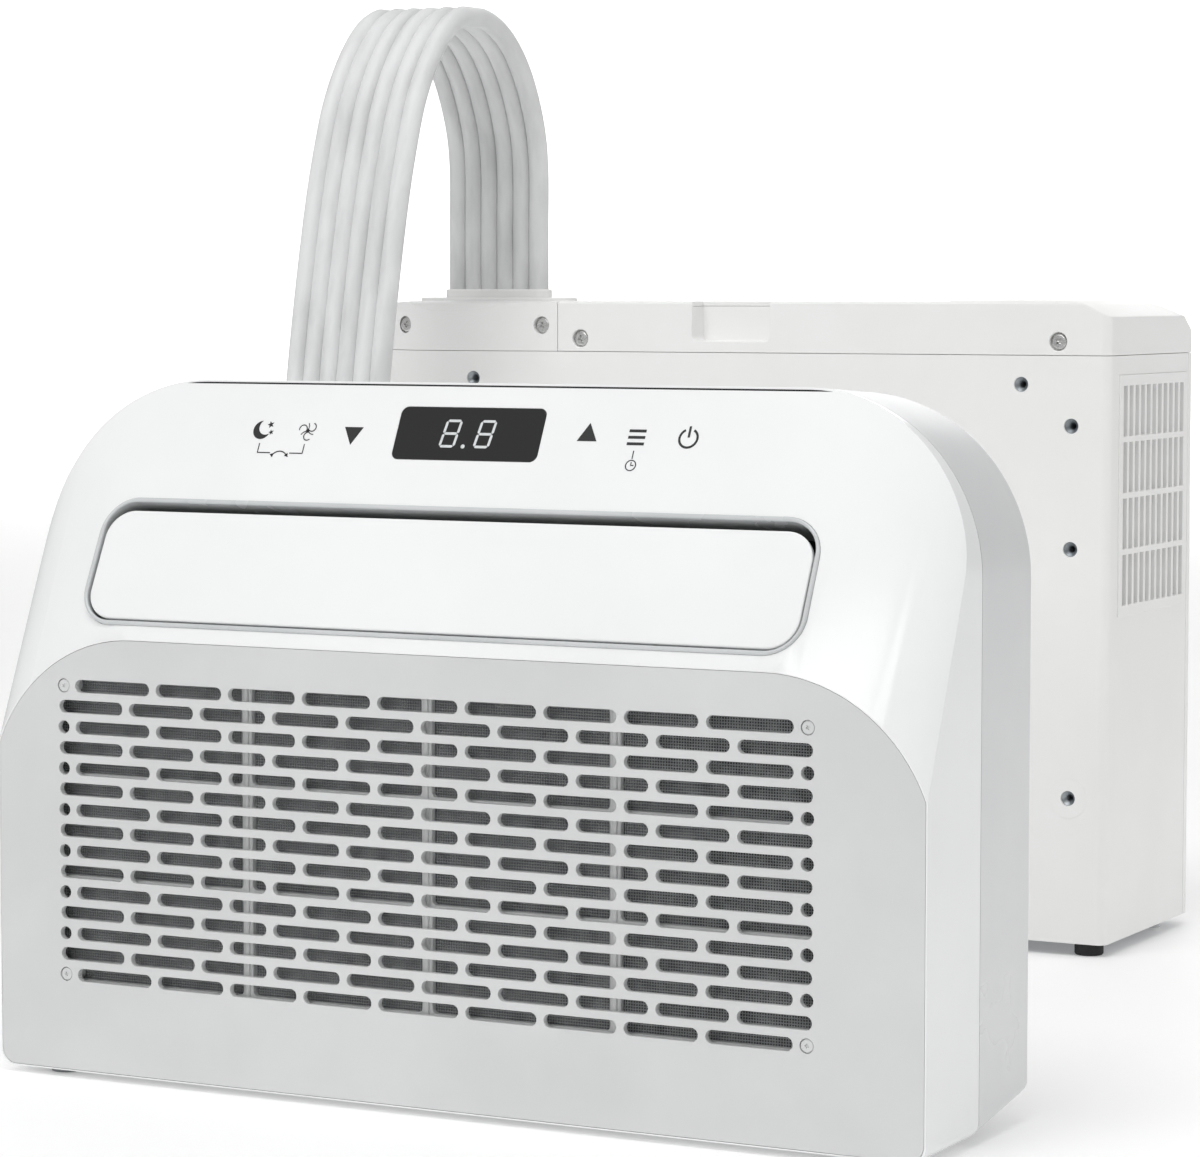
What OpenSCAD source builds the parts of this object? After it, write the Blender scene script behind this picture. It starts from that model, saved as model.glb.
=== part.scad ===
// Split window air conditioner: an indoor unit and an outdoor unit that stand on one surface, joined by a
// flat ribbon of six insulated tubes that arches over the sill between them.
// +Z is up, -Y is the room side, and the origin is under the middle of the two units at the floor.

/* [Indoor unit] */
// Width of the indoor casing
indoor_w = 440; // [400:1:540]
// Height of the indoor casing
indoor_h = 300; // [285:1:370]
// Depth of the indoor casing, front panel to back wall
indoor_d = 112; // [106:1:150]
// Depth of the front casing, up to the joint with the rear casing
front_d = 54; // [50:1:58]
// Height of the upright lower panel
panel_h = 190; // [180:1:196]
// Corner radius of the casing outline
casing_r = 75; // [55:1:85]
// Wall thickness of the indoor casing
indoor_wall = 2.4; // [1.8:0.1:3]
// Thickness of the grille panel
panel_t = 3; // [2:0.1:3.4]
// How much the floor of the rear casing rises towards the back
rear_rise = 8; // [0:1:14]
// Height of the indoor rubber feet
indoor_foot_h = 3; // [2:0.5:6]

/* [Grille] */
// Rows of air slots
grille_rows = 15; // [9:2:15]
// Distance between rows
row_pitch = 9; // [8:0.1:9]
// Height of a slot
slot_h = 5.8; // [3:0.1:6]
// Bar between two slots of a row
slot_bar = 3.3; // [2:0.1:6]
// Distance between slot centres in an even row
slot_pitch = 36.2; // [30:0.1:37]
// Height of the middle row above the casing floor
grille_z = 105.5; // [100:0.5:110]
// Sideways offset of the outlet, display and grille from the middle of the casing
front_shift = -8; // [-12:0.5:12]

/* [Outlet] */
// Width of the outlet flap
flap_w = 338; // [260:1:350]
// Height of the outlet flap along the slope
flap_h = 50.4; // [40:0.1:52]
// Thickness of the flap
flap_t = 3; // [2:0.1:4]
// Corner radius of the flap
flap_r = 13; // [6:1:16]
// Gap at the sides and the lower edge of the flap
flap_gap = 1; // [0.6:0.1:2]
// Gap above the flap, which its upper edge swings through
flap_top_gap = 4; // [3.6:0.1:5]
// Width of the trim ring
trim_rim = 2; // [1.6:0.1:4]
// Depth of the flap pivot below the sloped face
flap_axis_d = 13; // [12:0.5:14]
// Radius of the flap pivots
flap_pin_r = 2; // [1.5:0.1:2.4]
// Number of air-guide vanes
vane_count = 6; // [4:1:6]
// Radius of the vane pivots
vane_pin_r = 1.6; // [1.2:0.1:2]
// Running clearance of shafts and pivots, on the radius
run_gap = 0.05; // [0.03:0.01:0.09]

/* [Blower] */
// Outer radius of the blower wheel
wheel_r = 30; // [24:1:30]
// Radius of the blower shaft
shaft_r = 3; // [2:0.5:4]
// Number of blades on the blower wheel
wheel_blades = 24; // [12:1:30]

/* [Outdoor unit] */
// Width of the outdoor cabinet
outdoor_w = 450; // [420:1:540]
// Depth of the outdoor cabinet
outdoor_d = 134; // [130:1:170]
// Height of the outdoor cabinet with its top cover
outdoor_h = 330; // [318:1:400]
// Height of the top cover
cover_h = 28; // [24:1:36]
// Wall thickness of the outdoor cabinet
outdoor_wall = 2.5; // [1.8:0.1:3]
// Width of the gland housing at the left end
gland_w = 132; // [120:1:140]
// Radius of the large front-left corner
bulge_r = 60; // [40:1:62]
// How far the left part of the front stands forward
bulge_out = 5; // [0:1:8]
// Height of the outdoor rubber feet
outdoor_foot_h = 6.5; // [4:0.5:12]
// Radius of the condenser fan
fan_r = 98; // [80:1:99]
// Radius of the compressor shell
compressor_r = 46; // [38:1:47]
// Core radius of the M5 threaded inserts
insert_r = 2.1; // [1.6:0.1:2.6]
// Length of a threaded insert
insert_l = 12; // [8:1:14]

/* [Layout] */
// Free gap between the two units, where the sill goes
sill_gap = 386; // [340:1:460]
// How far the outdoor unit stands to the left of the indoor unit
side_shift = 118; // [100:1:140]

/* [Hose ribbon] */
// Outer diameter of one insulated tube
hose_d = 10; // [8:0.1:10]
// Distance between tube centres across the ribbon
hose_pitch = 10.2; // [10.1:0.1:11]
// Thickness of the hose flanges
flange_t = 3.5; // [2.5:0.5:5]

/* [Hidden] */
$fn = 48;
hair = 0.2;          // hairline joint between two mouldings
panel_rim = 0.6;     // rim of the casing around the grille panel
slab = 0.4;          // straight land at both ends of the front casing
white = "#f2f3f3";
satin = "#d4d6d6";
cabinet_white = "#ececeb";

// Layout of the two units about the origin
total_w = max(indoor_w/2, outdoor_w/2 - side_shift) + max(indoor_w/2, outdoor_w/2 + side_shift);
indoor_x = total_w/2 - max(indoor_w/2, outdoor_w/2 - side_shift);
outdoor_x = indoor_x - side_shift;
total_d = indoor_d + sill_gap + outdoor_d;
indoor_y = -total_d/2;
outdoor_y = indoor_y + indoor_d + sill_gap;
module at_indoor() { translate([indoor_x, indoor_y, indoor_foot_h]) children(); }
module at_front() { translate([indoor_x + front_shift, indoor_y, indoor_foot_h]) children(); }
module at_outdoor() { translate([outdoor_x, outdoor_y, outdoor_foot_h]) children(); }

// Flat shapes
module rrect(w, h, r) {
    square([w - 2*r, h], center = true);
    square([w, h - 2*r], center = true);
    for (x = [-1, 1], y = [-1, 1]) translate([x*(w/2 - r), y*(h/2 - r)]) circle(r);
}
module slot(l, h) {
    square([l - h, h], center = true);
    for (x = [-1, 1]) translate([x*(l - h)/2, 0]) circle(h/2);
}
// Stands a flat shape up facing the room, t thick, from y
module upright(y, t) { translate([0, y + t, 0]) rotate([90, 0, 0]) linear_extrude(t) children(); }
// Runs a flat Y-Z shape along X
module along_x(x0, x1) { translate([x0, 0, 0]) rotate([90, 0, 90]) linear_extrude(x1 - x0) children(); }
module rod_x(x0, x1, r) { translate([x0, 0, 0]) rotate([0, 90, 0]) cylinder(r = r, h = x1 - x0); }
module rod_y(y0, y1, r) { translate([0, y0, 0]) rotate([-90, 0, 0]) cylinder(r = r, h = y1 - y0); }
function arc(cx, cy, r, a0, a1, n) =
    [for (i = [0:n]) let (a = a0 + (a1 - a0)*i/n) [cx + r*cos(a), cy + r*sin(a)]];

// ---- indoor unit: outlines in its own frame, front panel at y = 0
slope_a = atan2(front_d, indoor_h - panel_h);
foot_r = 7;
base_r = 7;
// Outline of the upright panel, inset by i
module panel_outline(i) {
    w = indoor_w/2 - i;
    intersection() {
        translate([-w, i]) square([2*w, panel_h - 2*i]);
        union() {
            translate([-w, i + base_r]) square([2*w, panel_h - casing_r - base_r - i]);
            translate([-w + base_r, i]) square([2*w - 2*base_r, panel_h/2]);
            for (s = [-1, 1]) {
                translate([s*(indoor_w/2 - casing_r + 5), panel_h - casing_r]) circle(casing_r - i);
                translate([s*(w - base_r), i + base_r]) circle(base_r);
            }
            translate([-w + casing_r, i + base_r])
                square([2*w - 2*casing_r, panel_h - 2*i - base_r]);
        }
    }
}
// Outline of the casing at the joint, inset by i
module casing_outline(i) {
    w = indoor_w/2 - i;
    r = casing_r - i;
    translate([-w, i + base_r]) square([2*w, indoor_h - casing_r - i - base_r]);
    translate([-w + base_r, i]) square([2*w - 2*base_r, base_r + 1]);
    translate([-w + r, indoor_h - i - r - 1]) square([2*w - 2*r, r + 1]);
    for (s = [-1, 1]) {
        translate([s*(w - r), indoor_h - i - r]) circle(r);
        translate([s*(w - base_r), i + base_r]) circle(base_r);
    }
}
module front_solid(i) {
    shift = i*0.62;
    intersection() {
        hull() {
            upright(shift, slab) panel_outline(i);
            upright(front_d + shift, slab) casing_outline(i);
        }
        if (i == 0) translate([-indoor_w, -1, -1]) cube([2*indoor_w, front_d + 1, indoor_h + 2]);
        else translate([-indoor_w, -1, -1]) cube([2*indoor_w, front_d + 2, indoor_h + 2]);
    }
}
// The rear casing keeps the outline of the joint while its floor rises and its top falls to the back
module rear_solid(i) {
    y0 = front_d - (i > 0 ? 1 : 0);
    intersection() {
        upright(y0, indoor_d - i - y0) casing_outline(i);
        along_x(-indoor_w, indoor_w) polygon([[front_d - 9, i - 1], [front_d, i], [indoor_d, i + rear_rise],
            [indoor_d, indoor_h - i - 3], [front_d, indoor_h - i], [front_d - 9, indoor_h]]);
    }
}
// Frame of the sloped face: X across, Y up the slope from the panel edge, Z out of the face
module on_slope() { translate([0, 0, panel_h]) rotate([90 - slope_a, 0, 0]) children(); }

// Outlet, in the frame of the sloped face
trim_h = flap_h + flap_gap + flap_top_gap + 2*trim_rim;
trim_w = flap_w + 2*flap_gap + 2*trim_rim;
trim_y0 = 6.3;
flap_y0 = trim_y0 + trim_rim + flap_gap;
flap_mid = flap_y0 + flap_h/2;
trim_mid = trim_y0 + trim_h/2;
trim_depth = 20;
trim_proud = 0.8;
module outlet_hole(grow) {
    translate([0, trim_mid])
        rrect(trim_w + 2*grow, trim_h + 2*grow, flap_r + flap_gap + trim_rim + grow);
}
module trim_hole() {
    translate([0, trim_mid]) rrect(trim_w - 2*trim_rim, trim_h - 2*trim_rim, flap_r + flap_gap);
}
// Height up the slope of the display row, and the window's size
display_y = 99;
window_w = 70;
window_h = 24.4;
window_t = 1.6;

grille_x = 177;      // screws and end holes stand this far from the middle
row_list = [for (k = [0:grille_rows - 1]) grille_z + ((grille_rows - 1)/2 - k)*row_pitch];
end_rows = [row_list[0], row_list[grille_rows - 1]];
odd_long = 38.4;
odd_short = 33.4;
odd_len = [for (k = [0:8]) k % 4 == 0 ? odd_long : odd_short];
function odd_sum(k) = k < 0 ? 0 : odd_len[k] + odd_sum(k - 1);
odd_span = odd_sum(8) + 8*slot_bar;
odd_x = [for (k = [0:8]) -odd_span/2 + odd_sum(k - 1) + k*slot_bar + odd_len[k]/2];
// One cell of the panel's slot field
module grille_slots() {
    for (k = [0:grille_rows - 1]) translate([0, row_list[k]]) {
        if (k % 2 == 0) {
            for (j = [0:8]) translate([odd_x[j], 0]) slot(odd_len[j], slot_h);
            if (k > 0 && k < grille_rows - 1) for (s = [-1, 1]) translate([s*grille_x, 0]) circle(slot_h/2);
        } else {
            for (j = [0:9]) translate([(j - 4.5)*slot_pitch, 0]) slot(slot_pitch - slot_bar, slot_h);
        }
    }
}
module at_panel_screws() { for (s = [-1, 1], z = end_rows) translate([s*grille_x, 0, z]) children(); }
panel_screw_r = 1.5;
panel_head_r = 2.8;

// Rear screws of the indoor casing
rear_screw_at = [[-1, 30], [1, 30], [-1, 215], [1, 215]];
module at_rear_screws() {
    for (p = rear_screw_at) translate([p[0]*(indoor_w/2 - 16), 0, p[1]]) children();
}
rear_head_r = 4;
rear_shank_r = 1.6;
foot_x = indoor_w/2 - 25;
foot_y = [14, front_d - 11];

// Hose inlet at the indoor unit's back
inlet_x = -165;
inlet_z = 62;
ribbon_w = 5*hose_pitch + hose_d;
flange_w = ribbon_w + 20;
flange_h = 30;
collar_w = ribbon_w + 4;
collar_h = hose_d + 4;

module front_casing() {
    color(white) at_indoor() difference() {
        front_solid(0);
        front_solid(indoor_wall);
        upright(-1, panel_t + 1) panel_outline(panel_rim);
        upright(panel_t - 1, 6) intersection() {
            panel_outline(indoor_wall);
            translate([-indoor_w, 0]) square([2*indoor_w, panel_h - 10]);
        }
        translate([front_shift, 0, 0]) on_slope() {
            translate([0, 0, -30]) linear_extrude(40) outlet_hole(hair/2);
            translate([0, display_y, -window_t]) linear_extrude(10) rrect(window_w + hair, window_h + hair, 3.5);
            translate([0, display_y, -8]) linear_extrude(10) rrect(32, 18, 1);
        }
    }
}
module grille_panel() {
    color(satin) at_indoor() difference() {
        upright(0, panel_t) panel_outline(panel_rim + hair);
        translate([front_shift, 0, 0]) {
            upright(-1, panel_t + 2) grille_slots();
            at_panel_screws() {
                rod_y(-1, panel_t + 1, panel_screw_r + run_gap);
                rod_y(-1, 1.4, panel_head_r + run_gap);
            }
        }
    }
}
module panel_screws() {
    color(satin) at_front() at_panel_screws() {
        rod_y(0.2, 1.4, panel_head_r);
        rod_y(1.2, 10, panel_screw_r);
    }
}
frame_y = panel_t + 3;
frame_t = 3;
frame_w = 2*grille_x + 26;
frame_h = (grille_rows - 1)*row_pitch + 16;
rib_x = [-88, 0, 88];
rib_z = [-2.5*row_pitch, 2.5*row_pitch];
module filter_frame() {
    color(white) at_front() difference() {
        union() {
            upright(frame_y, frame_t) translate([0, grille_z]) difference() {
                rrect(frame_w, frame_h, 6);
                difference() {
                    rrect(frame_w - 12, frame_h - 10, 3);
                    for (x = rib_x) translate([x, 0]) square([6, frame_h], center = true);
                    for (z = rib_z) translate([0, z]) square([frame_w, 4], center = true);
                }
            }
            at_panel_screws() rod_y(panel_t, frame_y + frame_t, 4);
        }
        at_panel_screws() rod_y(panel_t - 1, frame_y + frame_t + 1, panel_screw_r + run_gap);
    }
}
module filter_mesh() {
    color("#3a3d40") at_front() upright(frame_y + frame_t, 0.6) translate([0, grille_z])
        difference() {
            rrect(frame_w - 2, frame_h - 2, 5);
            for (s = [-1, 1], z = [-1, 1])
                translate([s*grille_x, z*(grille_rows - 1)*row_pitch/2]) circle(panel_screw_r + 0.4);
        }
}
module outlet_trim() {
    color("#c9cbcc") at_front() on_slope() difference() {
        union() {
            translate([0, 0, -trim_depth]) linear_extrude(trim_depth + trim_proud) outlet_hole(-hair/2);
        }
        translate([0, 0, -trim_depth - 1]) linear_extrude(trim_depth + 4) trim_hole();
        translate([0, flap_mid, -flap_axis_d]) rod_x(-trim_w, trim_w, flap_pin_r + run_gap);
    }
}
// Flap with two ears that carry its pivots
ear_x = flap_w/2 - 6;
ear_pin = trim_w/2 - ear_x - hair;
module outlet_flap() {
    color(white) at_front() on_slope() difference() {
        union() {
            translate([0, flap_mid, -flap_t]) linear_extrude(flap_t) rrect(flap_w, flap_h, flap_r);
            for (s = [-1, 1]) translate([s*ear_x, flap_mid, 0]) {
                translate([-1.5, -5, -flap_axis_d]) cube([3, 10, flap_axis_d - 1]);
                translate([0, 0, -flap_axis_d]) rod_x(-1.5, 1.5, 5);
                translate([0, 0, -flap_axis_d]) rod_x(min(s*ear_pin, 0), max(s*ear_pin, 0), flap_pin_r);
            }
        }
        translate([0, flap_mid, -flap_axis_d]) rod_x(ear_x - 1, trim_w, 1 + run_gap);
    }
}
flap_motor_r = 6;
flap_motor_x = trim_w/2;
module flap_motor() {
    color("#c7c9cb") at_front() on_slope() translate([0, flap_mid, -flap_axis_d]) {
        rod_x(flap_motor_x, flap_motor_x + 9, flap_motor_r);
        rod_x(ear_x, flap_motor_x + 1, 1);
    }
}

// ---- air duct: the blower turns behind the evaporator and blows up to the outlet
wheel_y = indoor_d - 40;
wheel_z = 140;
scroll_r = wheel_r + 3.5;
scroll_wall = 1.6;
duct_x = trim_w/2;
function slope_pt(s, b) = [s*sin(slope_a) - b*cos(slope_a), panel_h + s*cos(slope_a) + b*sin(slope_a)];
duct_top = slope_pt(trim_y0 + trim_h - trim_rim, -trim_depth - hair);
duct_low = slope_pt(trim_y0 + trim_rim, -trim_depth - hair);
roof_end = [wheel_y + scroll_r, wheel_z + 61];
roof_a = atan2(roof_end[1] - duct_top[1], roof_end[0] - duct_top[0]);
tongue = [wheel_y - wheel_r + 6, wheel_z + 26];
module duct_inside() {
    polygon(concat([duct_low, duct_top, roof_end], arc(wheel_y, wheel_z, scroll_r, 0, -150, 15),
                   [[wheel_y - scroll_r, wheel_z + 8], tongue]));
}
module scroll_housing() {
    color("#dfe2e2") at_front() difference() {
        union() {
            along_x(-duct_x, duct_x) difference() {
                offset(delta = scroll_wall) duct_inside();
                duct_inside();
                polygon([duct_low + [-4, 0], duct_top + [-4, 2], duct_top + [1, -1], duct_low + [1, 1]]);
                translate([wheel_y - scroll_r - 8, wheel_z - 17]) square([16, 40]);
            }
            for (x = [-duct_x - 2, duct_x]) along_x(x, x + 2) intersection() {
                offset(delta = scroll_wall) duct_inside();
                translate([slope_pt(30, -trim_depth)[0] - 14, 0]) square([200, 400]);
            }
        }
        on_slope() translate([-indoor_w/2, -5, -trim_depth - hair]) cube([indoor_w, trim_h + 15, 60]);
        translate([0, wheel_y, wheel_z]) rod_x(-duct_x - 3, -duct_x + 1, bearing_r + run_gap);
        translate([0, wheel_y, wheel_z]) rod_x(duct_x - 1, duct_x + 3, shaft_r + 3);
        on_roof() for (k = [0:vane_count - 1]) translate([vane_x(k), vane_y, -1])
            cylinder(r = vane_pin_r + run_gap, h = 5);
    }
}
// Frame of the duct roof: Y runs down the roof to the back, Z points out of the duct
module on_roof() { translate([0, duct_top[0], duct_top[1]]) rotate([roof_a, 0, 0]) children(); }
vane_y = 38;
vane_pitch = 56;
vane_len = 30;
vane_lever = 6;
function vane_x(k) = (k - (vane_count - 1)/2)*vane_pitch;
module air_vane(k) {
    if (k < vane_count) color("#e6e8e8") at_front() on_roof() translate([vane_x(k), vane_y, 0]) {
        translate([-0.8, -8, -vane_len]) cube([1.6, 16, vane_len - 0.6]);
        translate([0, 0, -4]) cylinder(r = 2.6, h = 3.4);
        translate([0, 0, -1]) cylinder(r = vane_pin_r, h = 1 + scroll_wall + 0.8);
        translate([0, vane_lever, -vane_len - 3]) cylinder(r = 0.8, h = 4);
    }
}
module vane_link() {
    color("#c9ccce") at_front() on_roof() difference() {
        translate([vane_x(0) - 5, vane_y + vane_lever - 4, -vane_len - 2.4])
            cube([vane_x(vane_count - 1) - vane_x(0) + 10, 8, 1.8]);
        for (k = [0:vane_count - 1]) translate([vane_x(k) - 1.3, vane_y + vane_lever - 1.8, -vane_len - 3])
            cube([2.6, 3, 3]);
    }
}
bearing_r = 9;
wheel_x0 = -duct_x + 12;
wheel_x1 = duct_x - 22;
module blower_wheel() {
    color("#2b2d30") at_front() translate([0, wheel_y, wheel_z]) {
        for (x = [wheel_x0, (wheel_x0 + wheel_x1)/2 - 1, wheel_x1 - 2]) rod_x(x, x + 2, wheel_r);
        rod_x(-duct_x - 1, wheel_x0 + 1, shaft_r);
        rod_x(wheel_x1 - 1, duct_x + 24, shaft_r);
        for (k = [0:wheel_blades - 1]) rotate([k*360/wheel_blades, 0, 0])
            translate([wheel_x0, wheel_r - 9.5, 0]) rotate([35, 0, 0]) translate([0, -0.5, -0.5])
                cube([wheel_x1 - wheel_x0, 8.5, 1]);
    }
}
module blower_motor() {
    color("#8f9499") at_front() translate([0, wheel_y, wheel_z]) difference() {
        union() {
            rod_x(duct_x + 2, duct_x + 5, 30);
            rod_x(duct_x + 4, duct_x + 36, 24);
        }
        rod_x(duct_x, duct_x + 26, shaft_r + run_gap);
    }
}
module blower_bearing() {
    color("#b98d3f") at_front() translate([0, wheel_y, wheel_z]) difference() {
        rod_x(-duct_x - 2, -duct_x + 1, bearing_r);
        rod_x(-duct_x - 3, -duct_x + 3, shaft_r + run_gap);
    }
}
fin_y0 = 13;
fin_d = 20;
fin_z0 = 20;
fin_z1 = 164;
evap_w = 320;
tube_r = 3.5;
evap_tubes = [for (k = [0:5]) fin_z0 + 12 + k*24];
module evaporator_fins() {
    color("#b9bfc4") at_front() for (x = [-evap_w/2:10:evap_w/2]) along_x(x - 0.4, x + 0.4) difference() {
        translate([fin_y0, fin_z0]) square([fin_d, fin_z1 - fin_z0]);
        for (z = evap_tubes) translate([fin_y0 + fin_d/2, z]) circle(tube_r);
    }
}
// Half-turn pipe bend in the Y-Z or X-Z plane, opening towards -X
module u_bend(r, tube) { rotate([90, 0, 0]) rotate_extrude(angle = 180) translate([r, 0]) circle(tube); }
module evaporator_tubes() {
    color("#b87333") at_front() translate([0, fin_y0 + fin_d/2, 0]) {
        for (z = evap_tubes) translate([0, 0, z]) rod_x(-evap_w/2 - 6, evap_w/2 + 6, tube_r);
        for (k = [0:4]) translate([0, 0, evap_tubes[k] + 12])
            if (k % 2 == 0) translate([evap_w/2 + 6, 0, 0]) rotate([0, 90, 0]) u_bend(12, tube_r);
            else translate([-evap_w/2 - 6, 0, 0]) rotate([0, -90, 0]) u_bend(12, tube_r);
    }
}
module drip_tray() {
    color("#e2e4e4") at_front() difference() {
        translate([-indoor_w/2 + 30, 11, indoor_wall]) cube([indoor_w - 60, 36, fin_z0 - indoor_wall]);
        for (x = [-1, 0, 1]) translate([x*110 - 52, 13, indoor_wall + 3]) cube([104, 32, fin_z0]);
        for (s = [-1, 1]) translate([s*(indoor_w/2 - 42) - 10, 13, indoor_wall + 3]) cube([20, 32, fin_z0]);
    }
}
module control_board() {
    color("#2f6b45") at_front() on_slope() difference() {
        union() {
            translate([-70, display_y - 15, -9.6]) cube([140, 30, 1.6]);
            for (x = [-64, 64], y = [-10, 10]) translate([x, display_y + y, -8.2])
                cylinder(r = 3, h = 8.2 - indoor_wall - hair);
        }
    }
}
module led_module() {
    color("#1a1a1c") at_front() on_slope() translate([0, display_y, -8])
        linear_extrude(8 - window_t) rrect(30, 16, 0.8);
}
module display_window() {
    color("#101113") at_front() on_slope() translate([0, display_y, -window_t])
        linear_extrude(window_t + 0.2) rrect(window_w, window_h, 3.4);
}
// Flat printed symbols beside the window
icon_x = [-102, -79.3, -56.5, 56.5, 79.3, 102];
icon_t = 0.2;
module icon_moon() {
    difference() {
        circle(4.2);
        translate([1.8, 1.4]) circle(3.6);
    }
}
module icon_fan() {
    circle(0.9);
    for (a = [0:120:240]) rotate(a) translate([0, 2.4]) difference() {
        circle(2);
        translate([1.3, 0.5]) circle(1.7);
    }
}
module icon_down() { polygon([[-4, 3.4], [4, 3.4], [0, -3.6]]); }
module icon_mode() { for (y = [-2.6, 0, 2.6]) translate([0, y]) square([7, 1.2], center = true); }
module icon_power() {
    difference() {
        circle(4.2);
        circle(3.4);
        translate([-1.5, 1]) square([3, 5]);
    }
    translate([-0.4, 0.6]) square([0.8, 4.4]);
}
module touch_icons() {
    color("#202225") at_front() on_slope() translate([0, display_y, 0]) linear_extrude(icon_t) {
        translate([icon_x[0], 0]) icon_moon();
        translate([icon_x[1], 0]) icon_fan();
        translate([icon_x[2], 0]) icon_down();
        translate([icon_x[3], 0]) rotate(180) icon_down();
        translate([icon_x[4], 0]) icon_mode();
        translate([icon_x[5], 0]) icon_power();
    }
}
boss_l = 14;
module rear_casing() {
    color(white) at_indoor() difference() {
        union() {
            difference() {
                rear_solid(0);
                rear_solid(indoor_wall);
            }
            at_rear_screws() rod_y(indoor_d - boss_l, indoor_d - 1, 6);
        }
        at_rear_screws() {
            rod_y(indoor_d - 5, indoor_d + 1, rear_head_r + 0.8);
            rod_y(indoor_d - boss_l - 1, indoor_d, rear_shank_r + run_gap);
        }
        translate([inlet_x, 0, inlet_z]) upright(indoor_d - 6, 10)
            rrect(collar_w + hair, collar_h + hair, collar_h/2 - 1);
        translate([power_x, 0, power_z]) upright(indoor_d - 6, 10) rrect(28, 20, 2);
    }
}
module rear_screws() {
    color("#b7babd") at_indoor() at_rear_screws() {
        rod_y(indoor_d - 5, indoor_d - 2.6, rear_head_r);
        rod_y(indoor_d - boss_l + 1, indoor_d - 4.9, rear_shank_r);
    }
}
module indoor_feet() {
    color("#8d9093") at_indoor() for (s = [-1, 1], y = foot_y)
        translate([s*foot_x, y, -indoor_foot_h]) cylinder(r = foot_r, h = indoor_foot_h);
}
module indoor_hose_inlet() {
    color("#e4e6e6") at_indoor() translate([inlet_x, 0, inlet_z]) {
        upright(indoor_d, flange_t) rrect(flange_w, flange_h, flange_h/2 - 1);
        upright(indoor_d - 6, 6) difference() {
            rrect(collar_w, collar_h, collar_h/2 - 1);
            rrect(collar_w - 4, collar_h - 4, collar_h/2 - 3);
        }
    }
}
power_x = 120;
power_z = 52;
module power_inlet() {
    color("#26282b") at_indoor() translate([power_x, 0, power_z]) difference() {
        union() {
            upright(indoor_d - 6, 6) rrect(27.6, 19.6, 2);
            upright(indoor_d, 1.5) rrect(34, 26, 3);
        }
        upright(indoor_d - 4, 8) difference() {
            rrect(22, 14, 2);
            for (x = [-6, 0, 6]) translate([x, 0]) square([2, 5], center = true);
        }
    }
}

// ---- outdoor unit, in its own frame: front face at y = 0
body_h = outdoor_h - cover_h;
half_w = outdoor_w/2;
bulge_x0 = -half_w + bulge_r + 15;
front_r = 5;
rear_r = 12;
cabinet_pts = concat(
    arc(half_w - front_r, front_r, front_r, 0, -90, 6),
    [for (i = [0:12]) let (t = i/12)
        [bulge_x0 + 45 - 45*t, -bulge_out*(1 - cos(180*t))/2]],
    arc(-half_w + bulge_r, bulge_r - bulge_out, bulge_r, -90, -180, 16),
    arc(-half_w + rear_r, outdoor_d - rear_r, rear_r, 180, 90, 8),
    arc(half_w - rear_r, outdoor_d - rear_r, rear_r, 90, 0, 8));
module cabinet_plan(i) {
    if (i == 0) polygon(cabinet_pts);
    else offset(delta = -i) polygon(cabinet_pts);
}
back_w = outdoor_w - 2*rear_r - 6;
back_t = 2.5;
grille_y0 = 14;
grille_y1 = 116;
sg_z0 = 168;
sg_z1 = 292;
insert_at = [[-143, 287], [177, 287], [204.5, 266], [204.5, 203], [204.5, 75]];
inserts = [for (p = insert_at) [p[0] < 0 ? -half_w + 82 : half_w - (225 - p[0]), p[1]]];
insert_y = outdoor_wall;
// How far the front face stands forward or back at x
function front_y(x) =
    x < bulge_r - half_w ? bulge_r - bulge_out - sqrt(pow(bulge_r, 2) - pow(x + half_w - bulge_r, 2)) :
    x < bulge_x0 ? -bulge_out :
    x < bulge_x0 + 45 ? -bulge_out*(1 - cos(4*(bulge_x0 + 45 - x)))/2 : 0;
module at_inserts() { for (p = inserts) translate([p[0], front_y(p[0]), p[1]]) children(); }

module outdoor_shell() {
    color(cabinet_white) at_outdoor() difference() {
        linear_extrude(body_h) difference() {
            cabinet_plan(0);
            cabinet_plan(outdoor_wall);
            translate([-back_w/2 - hair/2, outdoor_d - 6]) square([back_w + hair, 10]);
        }
        at_inserts() rod_y(-1, outdoor_wall + 1, insert_r + 0.5);
        translate([half_w - 4, grille_y0, sg_z0]) cube([6, grille_y1 - grille_y0, sg_z1 - sg_z0]);
    }
}
pan_h = 12;
pan_t = 2;
module base_pan() {
    color("#9da1a4") at_outdoor() difference() {
        linear_extrude(pan_h) cabinet_plan(outdoor_wall + hair);
        translate([0, 0, pan_t]) linear_extrude(pan_h) cabinet_plan(outdoor_wall + hair + pan_t);
    }
}
vent_x0 = -62;
vent_x1 = half_w - 22;
vent_cols = 4;
vent_rows = 24;
module rear_panel() {
    pitch = (vent_x1 - vent_x0)/vent_cols;
    color(cabinet_white) at_outdoor() upright(outdoor_d - back_t, back_t) difference() {
        translate([-back_w/2, hair]) square([back_w, body_h - 2*hair]);
        for (i = [0:vent_cols - 1], j = [0:vent_rows - 1])
            translate([vent_x0 + (i + 0.5)*pitch, 30 + j*10.5]) slot(pitch - 6, 6);
        for (j = [0:5]) translate([-150, 210 + j*10.5]) slot(80, 4);
    }
}
module cover_side(i) {
    top = outdoor_h - i;
    low = body_h - (i > 0 ? 1 : 0);
    polygon([[-12 + i, low], [-12 + i, top - 8], [-bulge_out - 2, top - 2], [6, top], [84, top],
             [outdoor_d - 14, top - 12], [outdoor_d - i, top - 20], [outdoor_d - i, low]]);
}
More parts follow.
